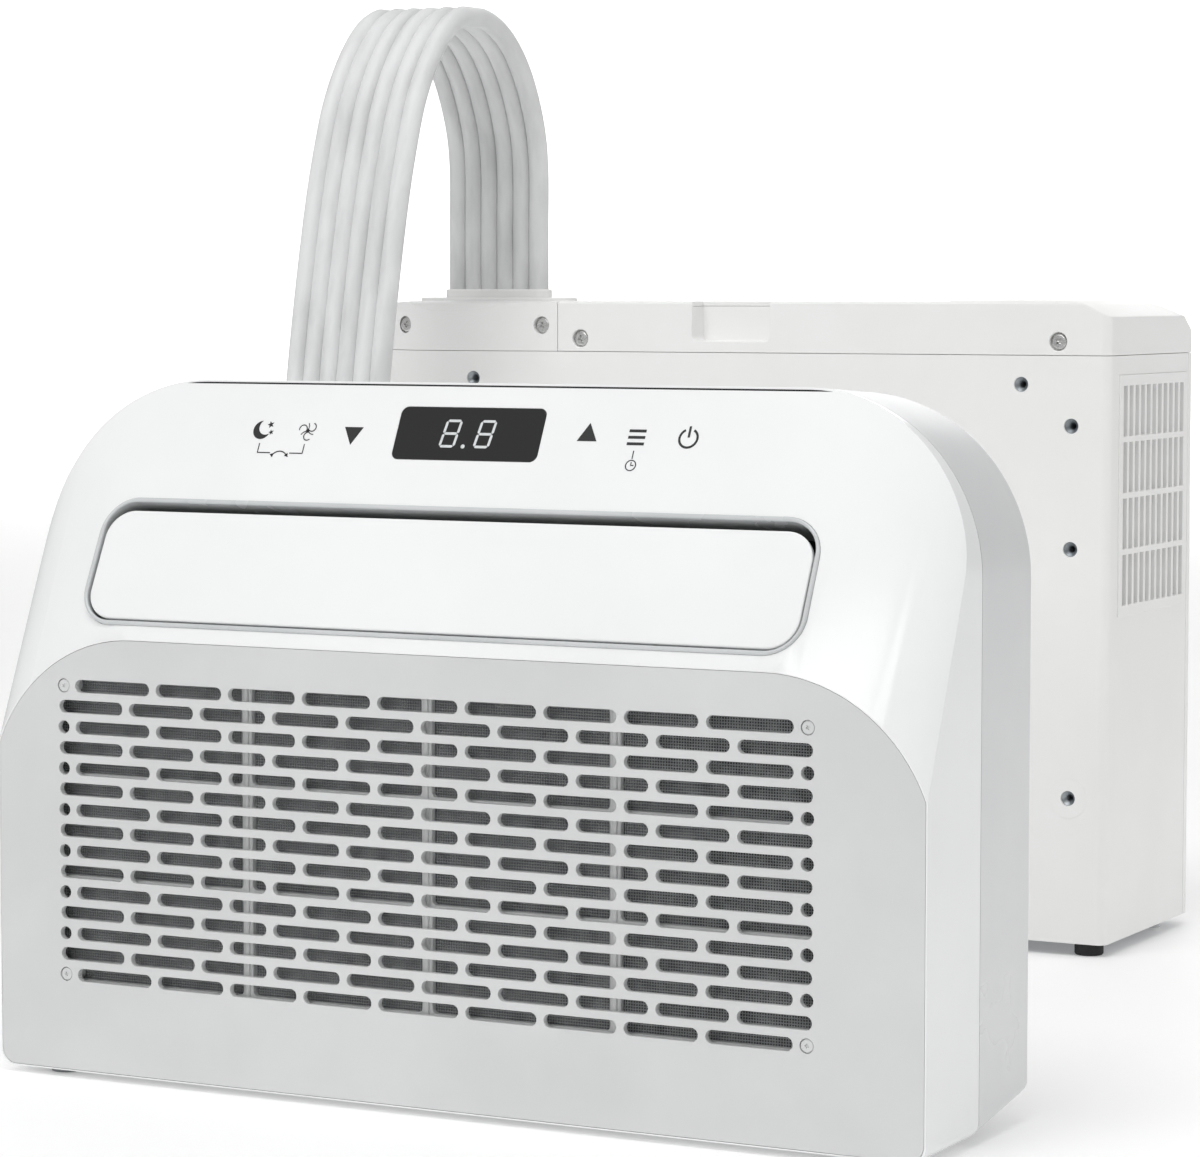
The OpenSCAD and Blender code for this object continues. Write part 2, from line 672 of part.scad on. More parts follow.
module cover_front(i) {
    top = outdoor_h + 1;
    polygon([[-half_w - 1, 0], [-half_w - 1, top - 14 - i],
        [-half_w + 14, top - 5 - i], [-half_w + 34, top - i],
             [half_w - 20, top - i], [half_w + 1, top - 10 - i], [half_w + 1, 0]]);
}
module cover_solid(i) {
    intersection() {
        translate([0, 0, body_h - (i > 0 ? 1 : 0)]) linear_extrude(cover_h + 2) cabinet_plan(i);
        along_x(-half_w - 1, half_w + 1) cover_side(i);
        upright(-20, outdoor_d + 40) cover_front(i);
    }
}
gland_x1 = -half_w + gland_w;
pocket_x = 11.5;
pocket_w = 46;
pocket_d = 14;
pocket_z = body_h + 6;
gland_screw_at = [[-half_w + 36, body_h + 14], [gland_x1 - 10, body_h + 14]];
cover_screw_at = [[gland_x1 + 14, body_h + 7], [half_w - 28, body_h + 7]];
head_r = 4;
recess_r = 4.8;
recess_d = 3.5;
module screw_seat(l) {
    rod_y(-1, recess_d, recess_r);
    rod_y(0, l, 2 + run_gap);
}
module screw_body() {
    rod_y(recess_d - 2.4, recess_d, head_r);
    rod_y(recess_d - 0.1, 11, 2);
}
module screw_boss() { rod_y(outdoor_wall - 0.5, recess_d + 2.5, recess_r + 1.6); }
module at_gland_screws() { for (p = gland_screw_at) translate([p[0], front_y(p[0]) + 0.5, p[1]]) children(); }
module at_cover_screws() { for (p = cover_screw_at) translate([p[0], 0, p[1]]) children(); }
module top_cover() {
    color(cabinet_white) at_outdoor() difference() {
        union() {
            difference() {
                cover_solid(0);
                cover_solid(outdoor_wall);
            }
            translate([pocket_x - pocket_w/2 - 2, 0.5, pocket_z - 2])
                cube([pocket_w + 4, pocket_d + 1.5, outdoor_h - pocket_z]);
            at_cover_screws() screw_boss();
        }
        translate([pocket_x - pocket_w/2, -12, pocket_z]) cube([pocket_w, pocket_d + 12, 60]);
        translate([-half_w - 5, -20, body_h - 5]) cube([gland_w + 5 + hair/2, outdoor_d + 40, 60]);
        at_cover_screws() screw_seat(12);
    }
}
gland_y = 46;
gland_at = -half_w + 70;
module gland_housing() {
    color(cabinet_white) at_outdoor() difference() {
        union() {
            difference() {
                cover_solid(0);
                cover_solid(outdoor_wall);
            }
            intersection() {
                at_gland_screws() screw_boss();
                cover_solid(0);
            }
        }
        translate([gland_x1 - hair/2, -20, body_h - 5]) cube([outdoor_w, outdoor_d + 40, 60]);
        at_gland_screws() {
            rod_y(-8, recess_d, recess_r);
            rod_y(0, 12, 2 + run_gap);
        }
        translate([gland_at, gland_y, body_h]) linear_extrude(60)
            rrect(collar_w + hair, collar_h + hair, collar_h/2 - 1);
    }
}
module outdoor_hose_flange() {
    color("#e4e6e6") at_outdoor() translate([gland_at, gland_y, outdoor_h]) {
        linear_extrude(flange_t) rrect(flange_w + 14, flange_h, flange_h/2 - 1);
        translate([0, 0, -6]) linear_extrude(6) difference() {
            rrect(collar_w, collar_h, collar_h/2 - 1);
            rrect(collar_w - 4, collar_h - 4, collar_h/2 - 3);
        }
    }
}
module cover_screws() {
    color("#b7babd") at_outdoor() {
        at_cover_screws() screw_body();
        at_gland_screws() screw_body();
    }
}
module threaded_inserts() {
    color("#7d8084") at_outdoor() at_inserts() difference() {
        rod_y(insert_y, insert_y + insert_l, insert_r + 2.4);
        rod_y(insert_y - 1, insert_y + insert_l + 1, insert_r);
    }
}
side_rows = 4;
side_cols = 11;
module side_grille() {
    w = grille_y1 - grille_y0 - hair;
    h = sg_z1 - sg_z0 - hair;
    cell_h = (h - 8)/side_rows;
    cell_w = (w - 8)/side_cols;
    mid = [half_w - outdoor_wall, (grille_y0 + grille_y1)/2, (sg_z0 + sg_z1)/2];
    color("#e4e5e4") at_outdoor() translate(mid)
        rotate([90, 0, 90]) linear_extrude(outdoor_wall + 0.8) difference() {
            square([w, h], center = true);
            for (i = [0:side_cols - 1], j = [0:side_rows - 1])
                translate([(i - (side_cols - 1)/2)*cell_w, (j - (side_rows - 1)/2)*cell_h])
                    square([cell_w - 2.6, cell_h - 3], center = true);
        }
}
foot_spots = [[half_w - 12, 10], [-half_w + 34, 30],
              [half_w - 34, outdoor_d - 22], [-half_w + 34, outdoor_d - 22]];
module rubber_feet() {
    color("#1c1d1f") at_outdoor() for (p = foot_spots) translate([p[0], p[1], -outdoor_foot_h]) {
        cylinder(r = 7.5, h = outdoor_foot_h);
    }
}
module drain_nipple() {
    color("#b9bcbe") at_outdoor() translate([half_w - 11, 100, -5]) difference() {
        cylinder(r = 5, h = 5);
        translate([0, 0, -1]) cylinder(r = 3, h = 7);
    }
}
cond_x0 = vent_x0 + 22;
cond_x1 = half_w - 33;
cond_y = outdoor_d - 26;
cond_z1 = body_h - 20;
cond_tubes = [for (k = [0:7]) pan_t + 24 + k*32];
module condenser_fins() {
    color("#aeb4b8") at_outdoor() for (x = [cond_x0:12:cond_x1]) along_x(x - 0.4, x + 0.4) difference() {
        translate([cond_y, pan_t]) square([20, cond_z1 - pan_t]);
        for (z = cond_tubes) translate([cond_y + 10, z]) circle(tube_r);
    }
}
module condenser_tubes() {
    last = cond_x1 + 6;
    color("#b87333") at_outdoor() translate([0, cond_y + 10, 0]) {
        for (z = cond_tubes) translate([0, 0, z]) rod_x(cond_x0 - 6, last, tube_r);
        for (k = [0:6]) translate([0, 0, cond_tubes[k] + 16])
            if (k % 2 == 0) translate([cond_x0 - 6, 0, 0]) rotate([0, -90, 0]) u_bend(16, tube_r);
            else translate([last, 0, 0]) rotate([0, 90, 0]) u_bend(16, tube_r);
    }
}
fan_x = (vent_x0 + half_w - 10)/2;
fan_z = 150;
shroud_y = cond_y - 8;
module fan_shroud() {
    color("#d9dbdb") at_outdoor() difference() {
        union() {
            upright(shroud_y, 2) translate([vent_x0 - 6, pan_t]) square([half_w - vent_x0 - 2, body_h - 20]);
            translate([fan_x, 0, fan_z]) rod_y(shroud_y - 20, shroud_y + 1, fan_r + 5);
        }
        translate([fan_x, 0, fan_z]) rod_y(shroud_y - 21, shroud_y + 3, fan_r + 3);
    }
}
fan_y = shroud_y - 8;
fan_blades = 5;
fan_shaft_r = 4;
module condenser_fan() {
    color("#3b3f43") at_outdoor() translate([fan_x, fan_y, fan_z]) {
        rod_y(-12, 10, 22);
        rod_y(-36, -11, fan_shaft_r);
        intersection() {
            rod_y(-14, 14, fan_r);
            for (k = [0:fan_blades - 1]) rotate([0, k*360/fan_blades, 0])
                translate([20, 0, 0]) rotate([24, 0, 0]) translate([0, -1, -25]) cube([fan_r, 2, 50]);
        }
    }
}
motor_y1 = fan_y - 16;
module fan_motor() {
    color("#8f9499") at_outdoor() translate([fan_x, 0, fan_z]) difference() {
        rod_y(motor_y1 - 26, motor_y1, 34);
        rod_y(motor_y1 - 24, motor_y1 + 1, fan_shaft_r + run_gap);
    }
}
module motor_bracket() {
    color("#a6aaad") at_outdoor() {
        for (s = [-1, 1]) translate([fan_x + s*20 - 4, motor_y1 - 29, pan_t]) cube([8, 3, body_h - 14]);
        translate([fan_x - 24, motor_y1 - 29, fan_z - 20]) cube([48, 3, 40]);
    }
}
partition_x = vent_x0 - 14;
module partition() {
    y0 = outdoor_wall + 2*hair + pan_t;
    color("#b5b9bb") at_outdoor() translate([partition_x - 2, y0, pan_t])
        cube([2, outdoor_d - 2*y0, body_h - 12]);
}
comp_x = -half_w + 75;
comp_y = 64;
module compressor() {
    color("#202224") at_outdoor() translate([comp_x, comp_y, 0]) {
        translate([0, 0, 24]) cylinder(r = compressor_r, h = 150);
        translate([0, 0, 174]) cylinder(r1 = compressor_r, r2 = compressor_r - 14, h = 14);
        translate([0, 0, 22]) for (a = [30:120:270]) rotate(a) translate([0, -8, 0]) cube([50, 16, 3]);
        translate([0, 0, 187]) cylinder(r = 4, h = 16);
    }
}
module compressor_mounts() {
    color("#2a2b2d") at_outdoor() translate([comp_x, comp_y, pan_t])
        for (a = [30:120:270]) rotate(a) translate([42, 0, 0]) cylinder(r = 7, h = 20);
}
module accumulator() {
    color("#2a2c2f") at_outdoor() translate([comp_x + compressor_r - 4, outdoor_d - 24, 60]) {
        cylinder(r = 14, h = 90);
        translate([0, 0, 90]) cylinder(r1 = 14, r2 = 6, h = 10);
        translate([0, 0, 99]) cylinder(r = 3.5, h = 16);
    }
}
box_x0 = comp_x - 30;
box_z = 222;
module electrical_box() {
    color("#8b9094") at_outdoor() difference() {
        translate([box_x0, 50, box_z]) cube([partition_x - 2 - box_x0, 70, 60]);
        translate([box_x0 + 1.5, 48, box_z + 1.5]) cube([partition_x - 5 - box_x0, 70, 57]);
    }
}
module run_capacitor() {
    color("#cfd2d4") at_outdoor() translate([box_x0 + 30, 90, box_z + 1.5]) cylinder(r = 15, h = 48);
}

// ---- hose ribbon: middle line, from the outdoor flange to the indoor inlet
// Points are [side, along, up]: side from the outdoor gland to the right, along from the indoor unit's back
// wall towards the outdoor unit, up from the floor. The arch rises with the gland of a taller outdoor unit.
route = [[0, 432, 340], [0, 432, 376], [0, 432, 410], [0, 427, 434], [0, 414, 459], [0, 396, 477],
         [0, 374, 487], [0, 352, 489], [0, 332, 482], [0, 314, 466], [0, 299, 444], [0, 289, 420],
         [0, 277, 380], [0, 262, 310],
         [4, 247, 250], [14, 230, 200], [31, 204, 152], [54, 170, 112], [78, 128, 84], [95, 82, 70],
         [104, 40, 66], [106, 3.5, 65]];
hose_start = [outdoor_x + gland_at, outdoor_y + gland_y, outdoor_foot_h + outdoor_h + flange_t];
hose_end = [indoor_x + inlet_x, indoor_y + indoor_d + flange_t, indoor_foot_h + inlet_z];
function lift(z) = (hose_start[2] - 340)*max(0, min(1, (z - 112)/228));
function route_point(i) =
    i == 0 ? hose_start :
    i == len(route) - 1 ? hose_end :
    [outdoor_x + gland_at + route[i][0], indoor_y + indoor_d + route[i][1], route[i][2] + lift(route[i][2])];
route_pts = [for (i = [0:len(route) - 1]) route_point(i)];
function unit(v) = v/norm(v);
function heading(i) = i == 0 ? [0, 0, 1] : i == len(route) - 1 ? [0, -1, 0] :
    unit(unit(route_pts[i + 1] - route_pts[i]) + unit(route_pts[i] - route_pts[i - 1]));
// The ribbon stays flat: its width lies square to its heading, near the X axis
function across(i) = let (h = heading(i)) unit([1, 0, 0] - h[0]*h);
hose_sides = 8;
module hose_tube(k) {
    off = (k - 2.5)*hose_pitch;
    rings = [for (i = [0:len(route) - 1])
        let (h = heading(i), a = across(i), b = cross(h, a), c = route_pts[i] + off*a)
        for (j = [0:hose_sides - 1])
            let (t = (j + 0.5)*360/hose_sides) c + hose_d/2*(cos(t)*a + sin(t)*b)];
    n = len(route);
    s = hose_sides;
    color("#e9ebeb") polyhedron(rings, concat(
        [[for (j = [s - 1:-1:0]) j]],
        [for (i = [0:n - 2], j = [0:s - 1])
            let (j1 = (j + 1) % s, up = (i + 1)*s)
            each [[i*s + j, i*s + j1, up + j1], [i*s + j, up + j1, up + j]]],
        [[for (j = [0:s - 1]) (n - 1)*s + j]]));
}

front_casing();
grille_panel();
panel_screws();
filter_frame();
filter_mesh();
outlet_trim();
outlet_flap();
flap_motor();
air_vane(0);  // air_vane_1
air_vane(1);  // air_vane_2
air_vane(2);  // air_vane_3
air_vane(3);  // air_vane_4
air_vane(4);  // air_vane_5
air_vane(5);  // air_vane_6
vane_link();
scroll_housing();
blower_wheel();
blower_motor();
blower_bearing();
evaporator_fins();
evaporator_tubes();
drip_tray();
control_board();
led_module();
display_window();
touch_icons();
rear_casing();
rear_screws();
indoor_feet();
indoor_hose_inlet();
power_inlet();
base_pan();
outdoor_shell();
rear_panel();
top_cover();
gland_housing();
outdoor_hose_flange();
side_grille();
cover_screws();
threaded_inserts();
rubber_feet();
drain_nipple();
condenser_fins();
condenser_tubes();
fan_shroud();
condenser_fan();
fan_motor();
motor_bracket();
partition();
compressor();
compressor_mounts();
accumulator();
electrical_box();
run_capacitor();
hose_tube(0);  // hose_tube_1
hose_tube(1);  // hose_tube_2
hose_tube(2);  // hose_tube_3
hose_tube(3);  // hose_tube_4
hose_tube(4);  // hose_tube_5
hose_tube(5);  // hose_tube_6
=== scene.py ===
import bpy
import bmesh
from math import radians, sin, cos, tan, atan2, pi, sqrt, copysign
from mathutils import Matrix, Vector


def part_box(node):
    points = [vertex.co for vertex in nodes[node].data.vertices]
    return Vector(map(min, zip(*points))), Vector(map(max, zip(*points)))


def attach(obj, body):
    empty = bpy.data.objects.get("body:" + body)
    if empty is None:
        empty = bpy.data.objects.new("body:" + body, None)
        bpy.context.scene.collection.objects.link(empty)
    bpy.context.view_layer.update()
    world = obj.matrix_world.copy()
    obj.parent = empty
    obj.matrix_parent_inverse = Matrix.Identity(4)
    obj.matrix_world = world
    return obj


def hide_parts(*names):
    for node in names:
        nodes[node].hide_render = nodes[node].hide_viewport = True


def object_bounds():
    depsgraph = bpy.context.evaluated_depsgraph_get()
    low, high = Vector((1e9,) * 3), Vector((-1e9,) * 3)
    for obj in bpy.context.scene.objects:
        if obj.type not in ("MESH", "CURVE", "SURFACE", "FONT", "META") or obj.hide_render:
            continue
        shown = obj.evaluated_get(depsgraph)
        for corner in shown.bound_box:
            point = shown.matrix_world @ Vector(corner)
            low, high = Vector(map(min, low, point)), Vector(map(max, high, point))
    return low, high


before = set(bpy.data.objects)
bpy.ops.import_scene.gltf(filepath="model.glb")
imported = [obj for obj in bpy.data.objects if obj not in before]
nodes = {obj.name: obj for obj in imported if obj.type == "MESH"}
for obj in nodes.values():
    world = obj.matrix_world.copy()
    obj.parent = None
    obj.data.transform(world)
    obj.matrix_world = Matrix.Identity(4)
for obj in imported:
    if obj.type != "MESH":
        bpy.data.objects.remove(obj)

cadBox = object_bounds()
print("frame loaded:", len(nodes), "nodes")

# all modelling below is in millimetres, in each unit's own frame; place() turns it to metres in the row frame
low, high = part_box("front_casing")
indoorCorner = Vector(((low.x + high.x)/2, low.y, low.z))
low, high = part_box("outdoor_shell")
outdoorDepth = 134
outdoorCorner = Vector(((low.x + high.x)/2, high.y - outdoorDepth/1000, low.z))
indoorPlace = Matrix.Translation(indoorCorner) @ Matrix.Diagonal((0.001, 0.001, 0.001, 1))
frontShift = -8        # the outlet, display and grille sit a little left of the casing's middle
frontPlace = indoorPlace @ Matrix.Translation((frontShift, 0, 0))
outdoorPlace = Matrix.Translation(outdoorCorner) @ Matrix.Diagonal((0.001, 0.001, 0.001, 1))

# camera, floor and light
view = {"azimuth": 27.75, "tilt": 4.22, "place": (0.8777, -1.7206, 0.3440), "lens": 119.1, "sensor": 36}


def addCamera():
    data = bpy.data.cameras.new("camera")
    data.lens, data.sensor_width = view["lens"], view["sensor"]
    camera = bpy.data.objects.new("camera", data)
    camera.location = view["place"]
    camera.rotation_euler = (radians(90 - view["tilt"]), 0, radians(view["azimuth"]))
    bpy.context.scene.collection.objects.link(camera)
    bpy.context.scene.camera = camera


def linear(hexColour):
    parts = [int(hexColour[i:i + 2], 16)/255 for i in (1, 3, 5)]
    return tuple(c/12.92 if c <= 0.04045 else ((c + 0.055)/1.055)**2.4 for c in parts) + (1,)


def addNode(tree, kind, settings=None, links=None):
    # plain names are node properties, names of sockets are input values
    node = tree.nodes.new(kind)
    for key, value in (settings or {}).items():
        if isinstance(key, int) or key in node.inputs:
            node.inputs[key].default_value = value
        else:
            setattr(node, key, value)
    for key, source in (links or {}).items():
        tree.links.new(source, node.inputs[key])
    return node


def startMaterial(name, settings):
    material = bpy.data.materials.new(name)
    material.use_nodes = True
    tree = material.node_tree
    shader = tree.nodes["Principled BSDF"]
    for key, value in settings.items():
        shader.inputs[key].default_value = value
    material.diffuse_color = shader.inputs["Base Color"].default_value
    coords = addNode(tree, "ShaderNodeTexCoord")
    return material, tree, shader, coords.outputs["Object"]


def stops(ramp, pairs):
    ends = ramp.color_ramp.elements
    while len(ends) > 1:
        ends.remove(ends[-1])
    ends[0].position, ends[0].color = pairs[0][0], linear(pairs[0][1])
    for at, colour in pairs[1:]:
        ends.new(at).color = linear(colour)
    return ramp


def moulded(name, base, worn, rough, grain, grainDepth, patch=60.0, roughSpread=0.06, extra=None):
    # a moulded plastic: broad soft patches of tone from the melt, a fine grain pressed in by the tool, and a
    # roughness that drifts with them; patch and grain are widths in millimetres
    settings = {"Base Color": linear(base), "Roughness": rough, "IOR": 1.53}
    settings.update(extra or {})
    material, tree, shader, where = startMaterial(name, settings)
    broad = addNode(tree, "ShaderNodeTexNoise", {"Scale": 1000/patch, "Detail": 4.0, "Roughness": 0.55},
                    {"Vector": where})
    tone = stops(addNode(tree, "ShaderNodeValToRGB", {}, {"Fac": broad.outputs["Fac"]}),
                 [(0.36, worn), (0.62, base)])
    tree.links.new(tone.outputs["Color"], shader.inputs["Base Color"])
    drift = addNode(tree, "ShaderNodeMapRange", {"From Min": 0.3, "From Max": 0.7,
                                                 "To Min": rough + roughSpread,
                    "To Max": rough - roughSpread/2}, {"Value": broad.outputs["Fac"]})
    tree.links.new(drift.outputs["Result"], shader.inputs["Roughness"])
    fine = addNode(tree, "ShaderNodeTexNoise", {"Scale": 1000/grain, "Detail": 2.0}, {"Vector": where})
    bump = addNode(tree, "ShaderNodeBump", {"Strength": 1.0, "Distance": grainDepth/1000},
                   {"Height": fine.outputs["Fac"]})
    tree.links.new(bump.outputs["Normal"], shader.inputs["Normal"])
    return material


def metal(name, base, dark, rough, streak, depth=0.01, axis=(1, 1, 12)):
    # a bare or plated metal: drawn streaks along one axis and a little tarnish; streak is a width in millimetres
    material, tree, shader, where = startMaterial(name, {"Base Color": linear(base), "Metallic": 1.0,
                                                         "Roughness": rough})
    turned = addNode(tree, "ShaderNodeMapping", {"Scale": axis}, {"Vector": where})
    lines = addNode(tree, "ShaderNodeTexNoise", {"Scale": 1000/streak, "Detail": 3.0},
                    {"Vector": turned.outputs["Vector"]})
    tone = stops(addNode(tree, "ShaderNodeValToRGB", {}, {"Fac": lines.outputs["Fac"]}),
                 [(0.3, dark), (0.65, base)])
    tree.links.new(tone.outputs["Color"], shader.inputs["Base Color"])
    drift = addNode(tree, "ShaderNodeMapRange", {"To Min": rough + 0.12, "To Max": rough - 0.05},
                    {"Value": lines.outputs["Fac"]})
    tree.links.new(drift.outputs["Result"], shader.inputs["Roughness"])
    bump = addNode(tree, "ShaderNodeBump", {"Strength": 0.6, "Distance": depth/1000},
                   {"Height": lines.outputs["Fac"]})
    tree.links.new(bump.outputs["Normal"], shader.inputs["Normal"])
    return material


def wovenFilter():
    # woven nylon screen: pale threads with lint in patches; the dark between the threads is painted shade for the
    # unit's inside seen through the openings; a real screen has threads
    # 0.6 mm apart, drawn twice as coarse so that the weave shows
    pitch = 1.2
    material, tree, shader, where = startMaterial("wovenNylonScreen", {"Base Color": linear("#3b3d3f"),
                                                                       "Roughness": 0.75})
    apart = addNode(tree, "ShaderNodeSeparateXYZ", {}, {"Vector": where})
    threads = []
    for axis in ("X", "Z"):
        turn = addNode(tree, "ShaderNodeMath", {"operation": "MULTIPLY", 1: 2000*pi/pitch},
                       {0: apart.outputs[axis]})
        wave = addNode(tree, "ShaderNodeMath", {"operation": "SINE"}, {0: turn.outputs[0]})
        threads.append(wave.outputs[0])
    weave = addNode(tree, "ShaderNodeMath", {"operation": "MAXIMUM"}, {0: threads[0], 1: threads[1]})
    lint = addNode(tree, "ShaderNodeTexNoise", {"Scale": 140.0, "Detail": 5.0}, {"Vector": where})
    both = addNode(tree, "ShaderNodeMath", {"operation": "MULTIPLY_ADD", 1: 0.42, 2: 0.1},
                   {0: weave.outputs[0]})
    soft = addNode(tree, "ShaderNodeMath", {"operation": "ADD"}, {0: both.outputs[0], 1: lint.outputs["Fac"]})
    # the darkest stop, between the threads, is painted shade
    tone = stops(addNode(tree, "ShaderNodeValToRGB", {}, {"Fac": soft.outputs[0]}),
                 [(0.3, "#242527"), (0.55, "#5e6061"), (0.85, "#a8aaab")])
    tree.links.new(tone.outputs["Color"], shader.inputs["Base Color"])
    bump = addNode(tree, "ShaderNodeBump", {"Strength": 0.8, "Distance": 0.0003},
                   {"Height": weave.outputs[0]})
    tree.links.new(bump.outputs["Normal"], shader.inputs["Normal"])
    return material


def foamJacket():
    # smooth-skinned polyethylene foam on the tubes: soft long ripples and a chalky sheen
    material, tree, shader, where = startMaterial("foamJacket", {"Base Color": linear("#dedfdf"),
                                                                 "Roughness": 0.5,
                                                  "IOR": 1.5, "Subsurface Weight": 0.0, "Sheen Weight": 0.15})
    long = addNode(tree, "ShaderNodeMapping", {"Scale": (60, 14, 14)}, {"Vector": where})
    ripple = addNode(tree, "ShaderNodeTexNoise", {"Scale": 1.6, "Detail": 4.0},
                     {"Vector": long.outputs["Vector"]})
    tone = stops(addNode(tree, "ShaderNodeValToRGB", {}, {"Fac": ripple.outputs["Fac"]}),
                 [(0.3, "#d2d3d3"), (0.6, "#e4e5e5")])
    tree.links.new(tone.outputs["Color"], shader.inputs["Base Color"])
    skin = addNode(tree, "ShaderNodeTexNoise", {"Scale": 900.0, "Detail": 2.0}, {"Vector": where})
    bump = addNode(tree, "ShaderNodeBump", {"Strength": 0.5, "Distance": 0.0001},
                   {"Height": skin.outputs["Fac"]})
    tree.links.new(bump.outputs["Normal"], shader.inputs["Normal"])
    return material


def litSegments():
    # light-emitting bars behind a frosted mask
    material, tree, shader, where = startMaterial("litSegments", {"Base Color": linear("#b9bcbd"),
                                                                  "Roughness": 0.4,
                                                  "Emission Color": linear("#d6d9da"),
                                                                  "Emission Strength": 0.3})
    frost = addNode(tree, "ShaderNodeTexNoise", {"Scale": 700.0, "Detail": 2.0}, {"Vector": where})
    tone = stops(addNode(tree, "ShaderNodeValToRGB", {}, {"Fac": frost.outputs["Fac"]}),
                 [(0.3, "#a9acad"), (0.7, "#c4c7c8")])
    tree.links.new(tone.outputs["Color"], shader.inputs["Base Color"])
    return material


# injection-moulded ABS from a polished tool: a hard clear gloss with hardly any grain
glossAbs = moulded("glossAbs", "#f4f5f5", "#f0f1f1", 0.16, 9.0, 0.004, patch=140.0, roughSpread=0.03)
# the rear shell of the same ABS without the polish; its light grey is painted shade, darker than the front shell
# because the rear stands in shadow
rearShadedAbs = moulded("rearShadedAbs", "#dfe0e0", "#d9dadb", 0.28, 6.0, 0.006, patch=120.0, roughSpread=0.04)
# the same ABS from a spark-eroded tool: a dry satin grain
satinAbs = moulded("satinAbs", "#d9dada", "#d3d4d4", 0.46, 0.9, 0.02, patch=90.0)
# weatherproof ASA, moulded in an etched tool: a fine leather grain, a little warmer and duller
cabinetAsa = moulded("cabinetAsa", "#f7f7f6", "#f3f3f1", 0.38, 1.1, 0.018, patch=120.0)
# grey ABS, moulded and left unpainted: trims and the vent's backing
trimAbs = moulded("trimAbs", "#d0d2d3", "#c6c9ca", 0.24, 2.0, 0.006)
# dark ABS of the air duct, straight from a rough tool; its dark grey is painted shade for the shadowed inside of the
# outlet
ductPaintedShadeAbs = moulded("ductPaintedShadeAbs", "#3e4042", "#333537", 0.5, 1.2, 0.02)
# white ABS with a dull draw-polished face: filter ribs and drip tray
filterFrameAbs = moulded("filterFrameAbs", "#e6e7e7", "#d9dada", 0.42, 1.0, 0.02)
# glass-filled black ABS: fans, sockets and the read-out module
blackAbs = moulded("blackAbs", "#1c1d1f", "#26272a", 0.45, 0.8, 0.02)
# cast acrylic sheet smoked black under a hard coat: a deep clear gloss
smokedAcrylic = moulded("smokedAcrylic", "#070708", "#0b0b0c", 0.08, 14.0, 0.002, roughSpread=0.02,
                        extra={"Coat Weight": 0.4, "Coat Roughness": 0.04})
# pad-printed ink: a dry flat film
printedInk = moulded("printedInk", "#141516", "#1c1d1e", 0.5, 0.5, 0.004)
# compression-moulded rubber and its foam: dry, with a coarse grain
blackRubber = moulded("blackRubber", "#151516", "#202021", 0.72, 0.7, 0.03)
greyRubber = moulded("greyRubber", "#8e9193", "#808386", 0.7, 0.7, 0.03)
# glass laminate under a green resist lacquer
boardGreen = moulded("boardGreen", "#1f5b39", "#184a2e", 0.4, 1.5, 0.02)
# stoving enamel over steel: an orange-peel gloss
blackPaint = moulded("blackPaint", "#17181a", "#1e1f21", 0.28, 3.0, 0.02)
# zinc-plated, cold-headed steel: bright, with turning lines
zincScrew = metal("zincScrew", "#e6e6e4", "#bfc0c0", 0.24, 3.0)
# hot-dip galvanised sheet: a dull mottled grey
galvanised = metal("galvanised", "#aeb3b7", "#878d92", 0.42, 18.0, axis=(1, 1, 1))
# deep-drawn motor cans, mill aluminium fins, drawn copper tube and sintered bronze
motorSteel = metal("motorSteel", "#9fa4a9", "#7b8085", 0.38, 6.0)
finAluminium = metal("finAluminium", "#cdd2d6", "#a9afb4", 0.3, 2.0)
copperTube = metal("copperTube", "#d08a5e", "#9c5c3a", 0.3, 8.0)
bronze = metal("bronze", "#b28a4a", "#80602f", 0.45, 1.0)
screenCloth = wovenFilter()
hoseFoam = foamJacket()
segmentLight = litSegments()
print("materials made")

addCamera()

# hoses
ribbon = {"pitch": 10.2, "cord": 10.0, "jacket": 10.9, "sides": 5}
# middle line from the outdoor flange to the indoor inlet: side, back from the indoor back wall, up from the floor
ribbonRoute = [(0, 432, 340), (0, 432, 376), (0, 432, 410), (0, 427, 434), (0, 414, 459), (0, 396, 477),
               (0, 374, 487),
               (0, 352, 489), (0, 332, 482), (0, 314, 466), (0, 299, 444), (0, 289, 420), (0, 277, 380),
               (0, 262, 310),
               (4, 247, 250), (14, 230, 200), (31, 204, 152), (54, 170, 112), (78, 128, 84), (95, 82, 70),
               (104, 40, 66), (106, 3.5, 65)]


def smoothLine(points, between):
    # a curve through every point, with a few points between each pair
    line = []
    for i in range(len(points) - 1):
        a, b, c, d = (points[max(0, min(len(points) - 1, i + k))] for k in (-1, 0, 1, 2))
        for j in range(between):
            t = j/between
            line.append(0.5*((2*b) + (c - a)*t + (2*a - 5*b + 4*c - d)*t*t + (3*b - a - 3*c + d)*t**3))
    return line + [points[-1]]


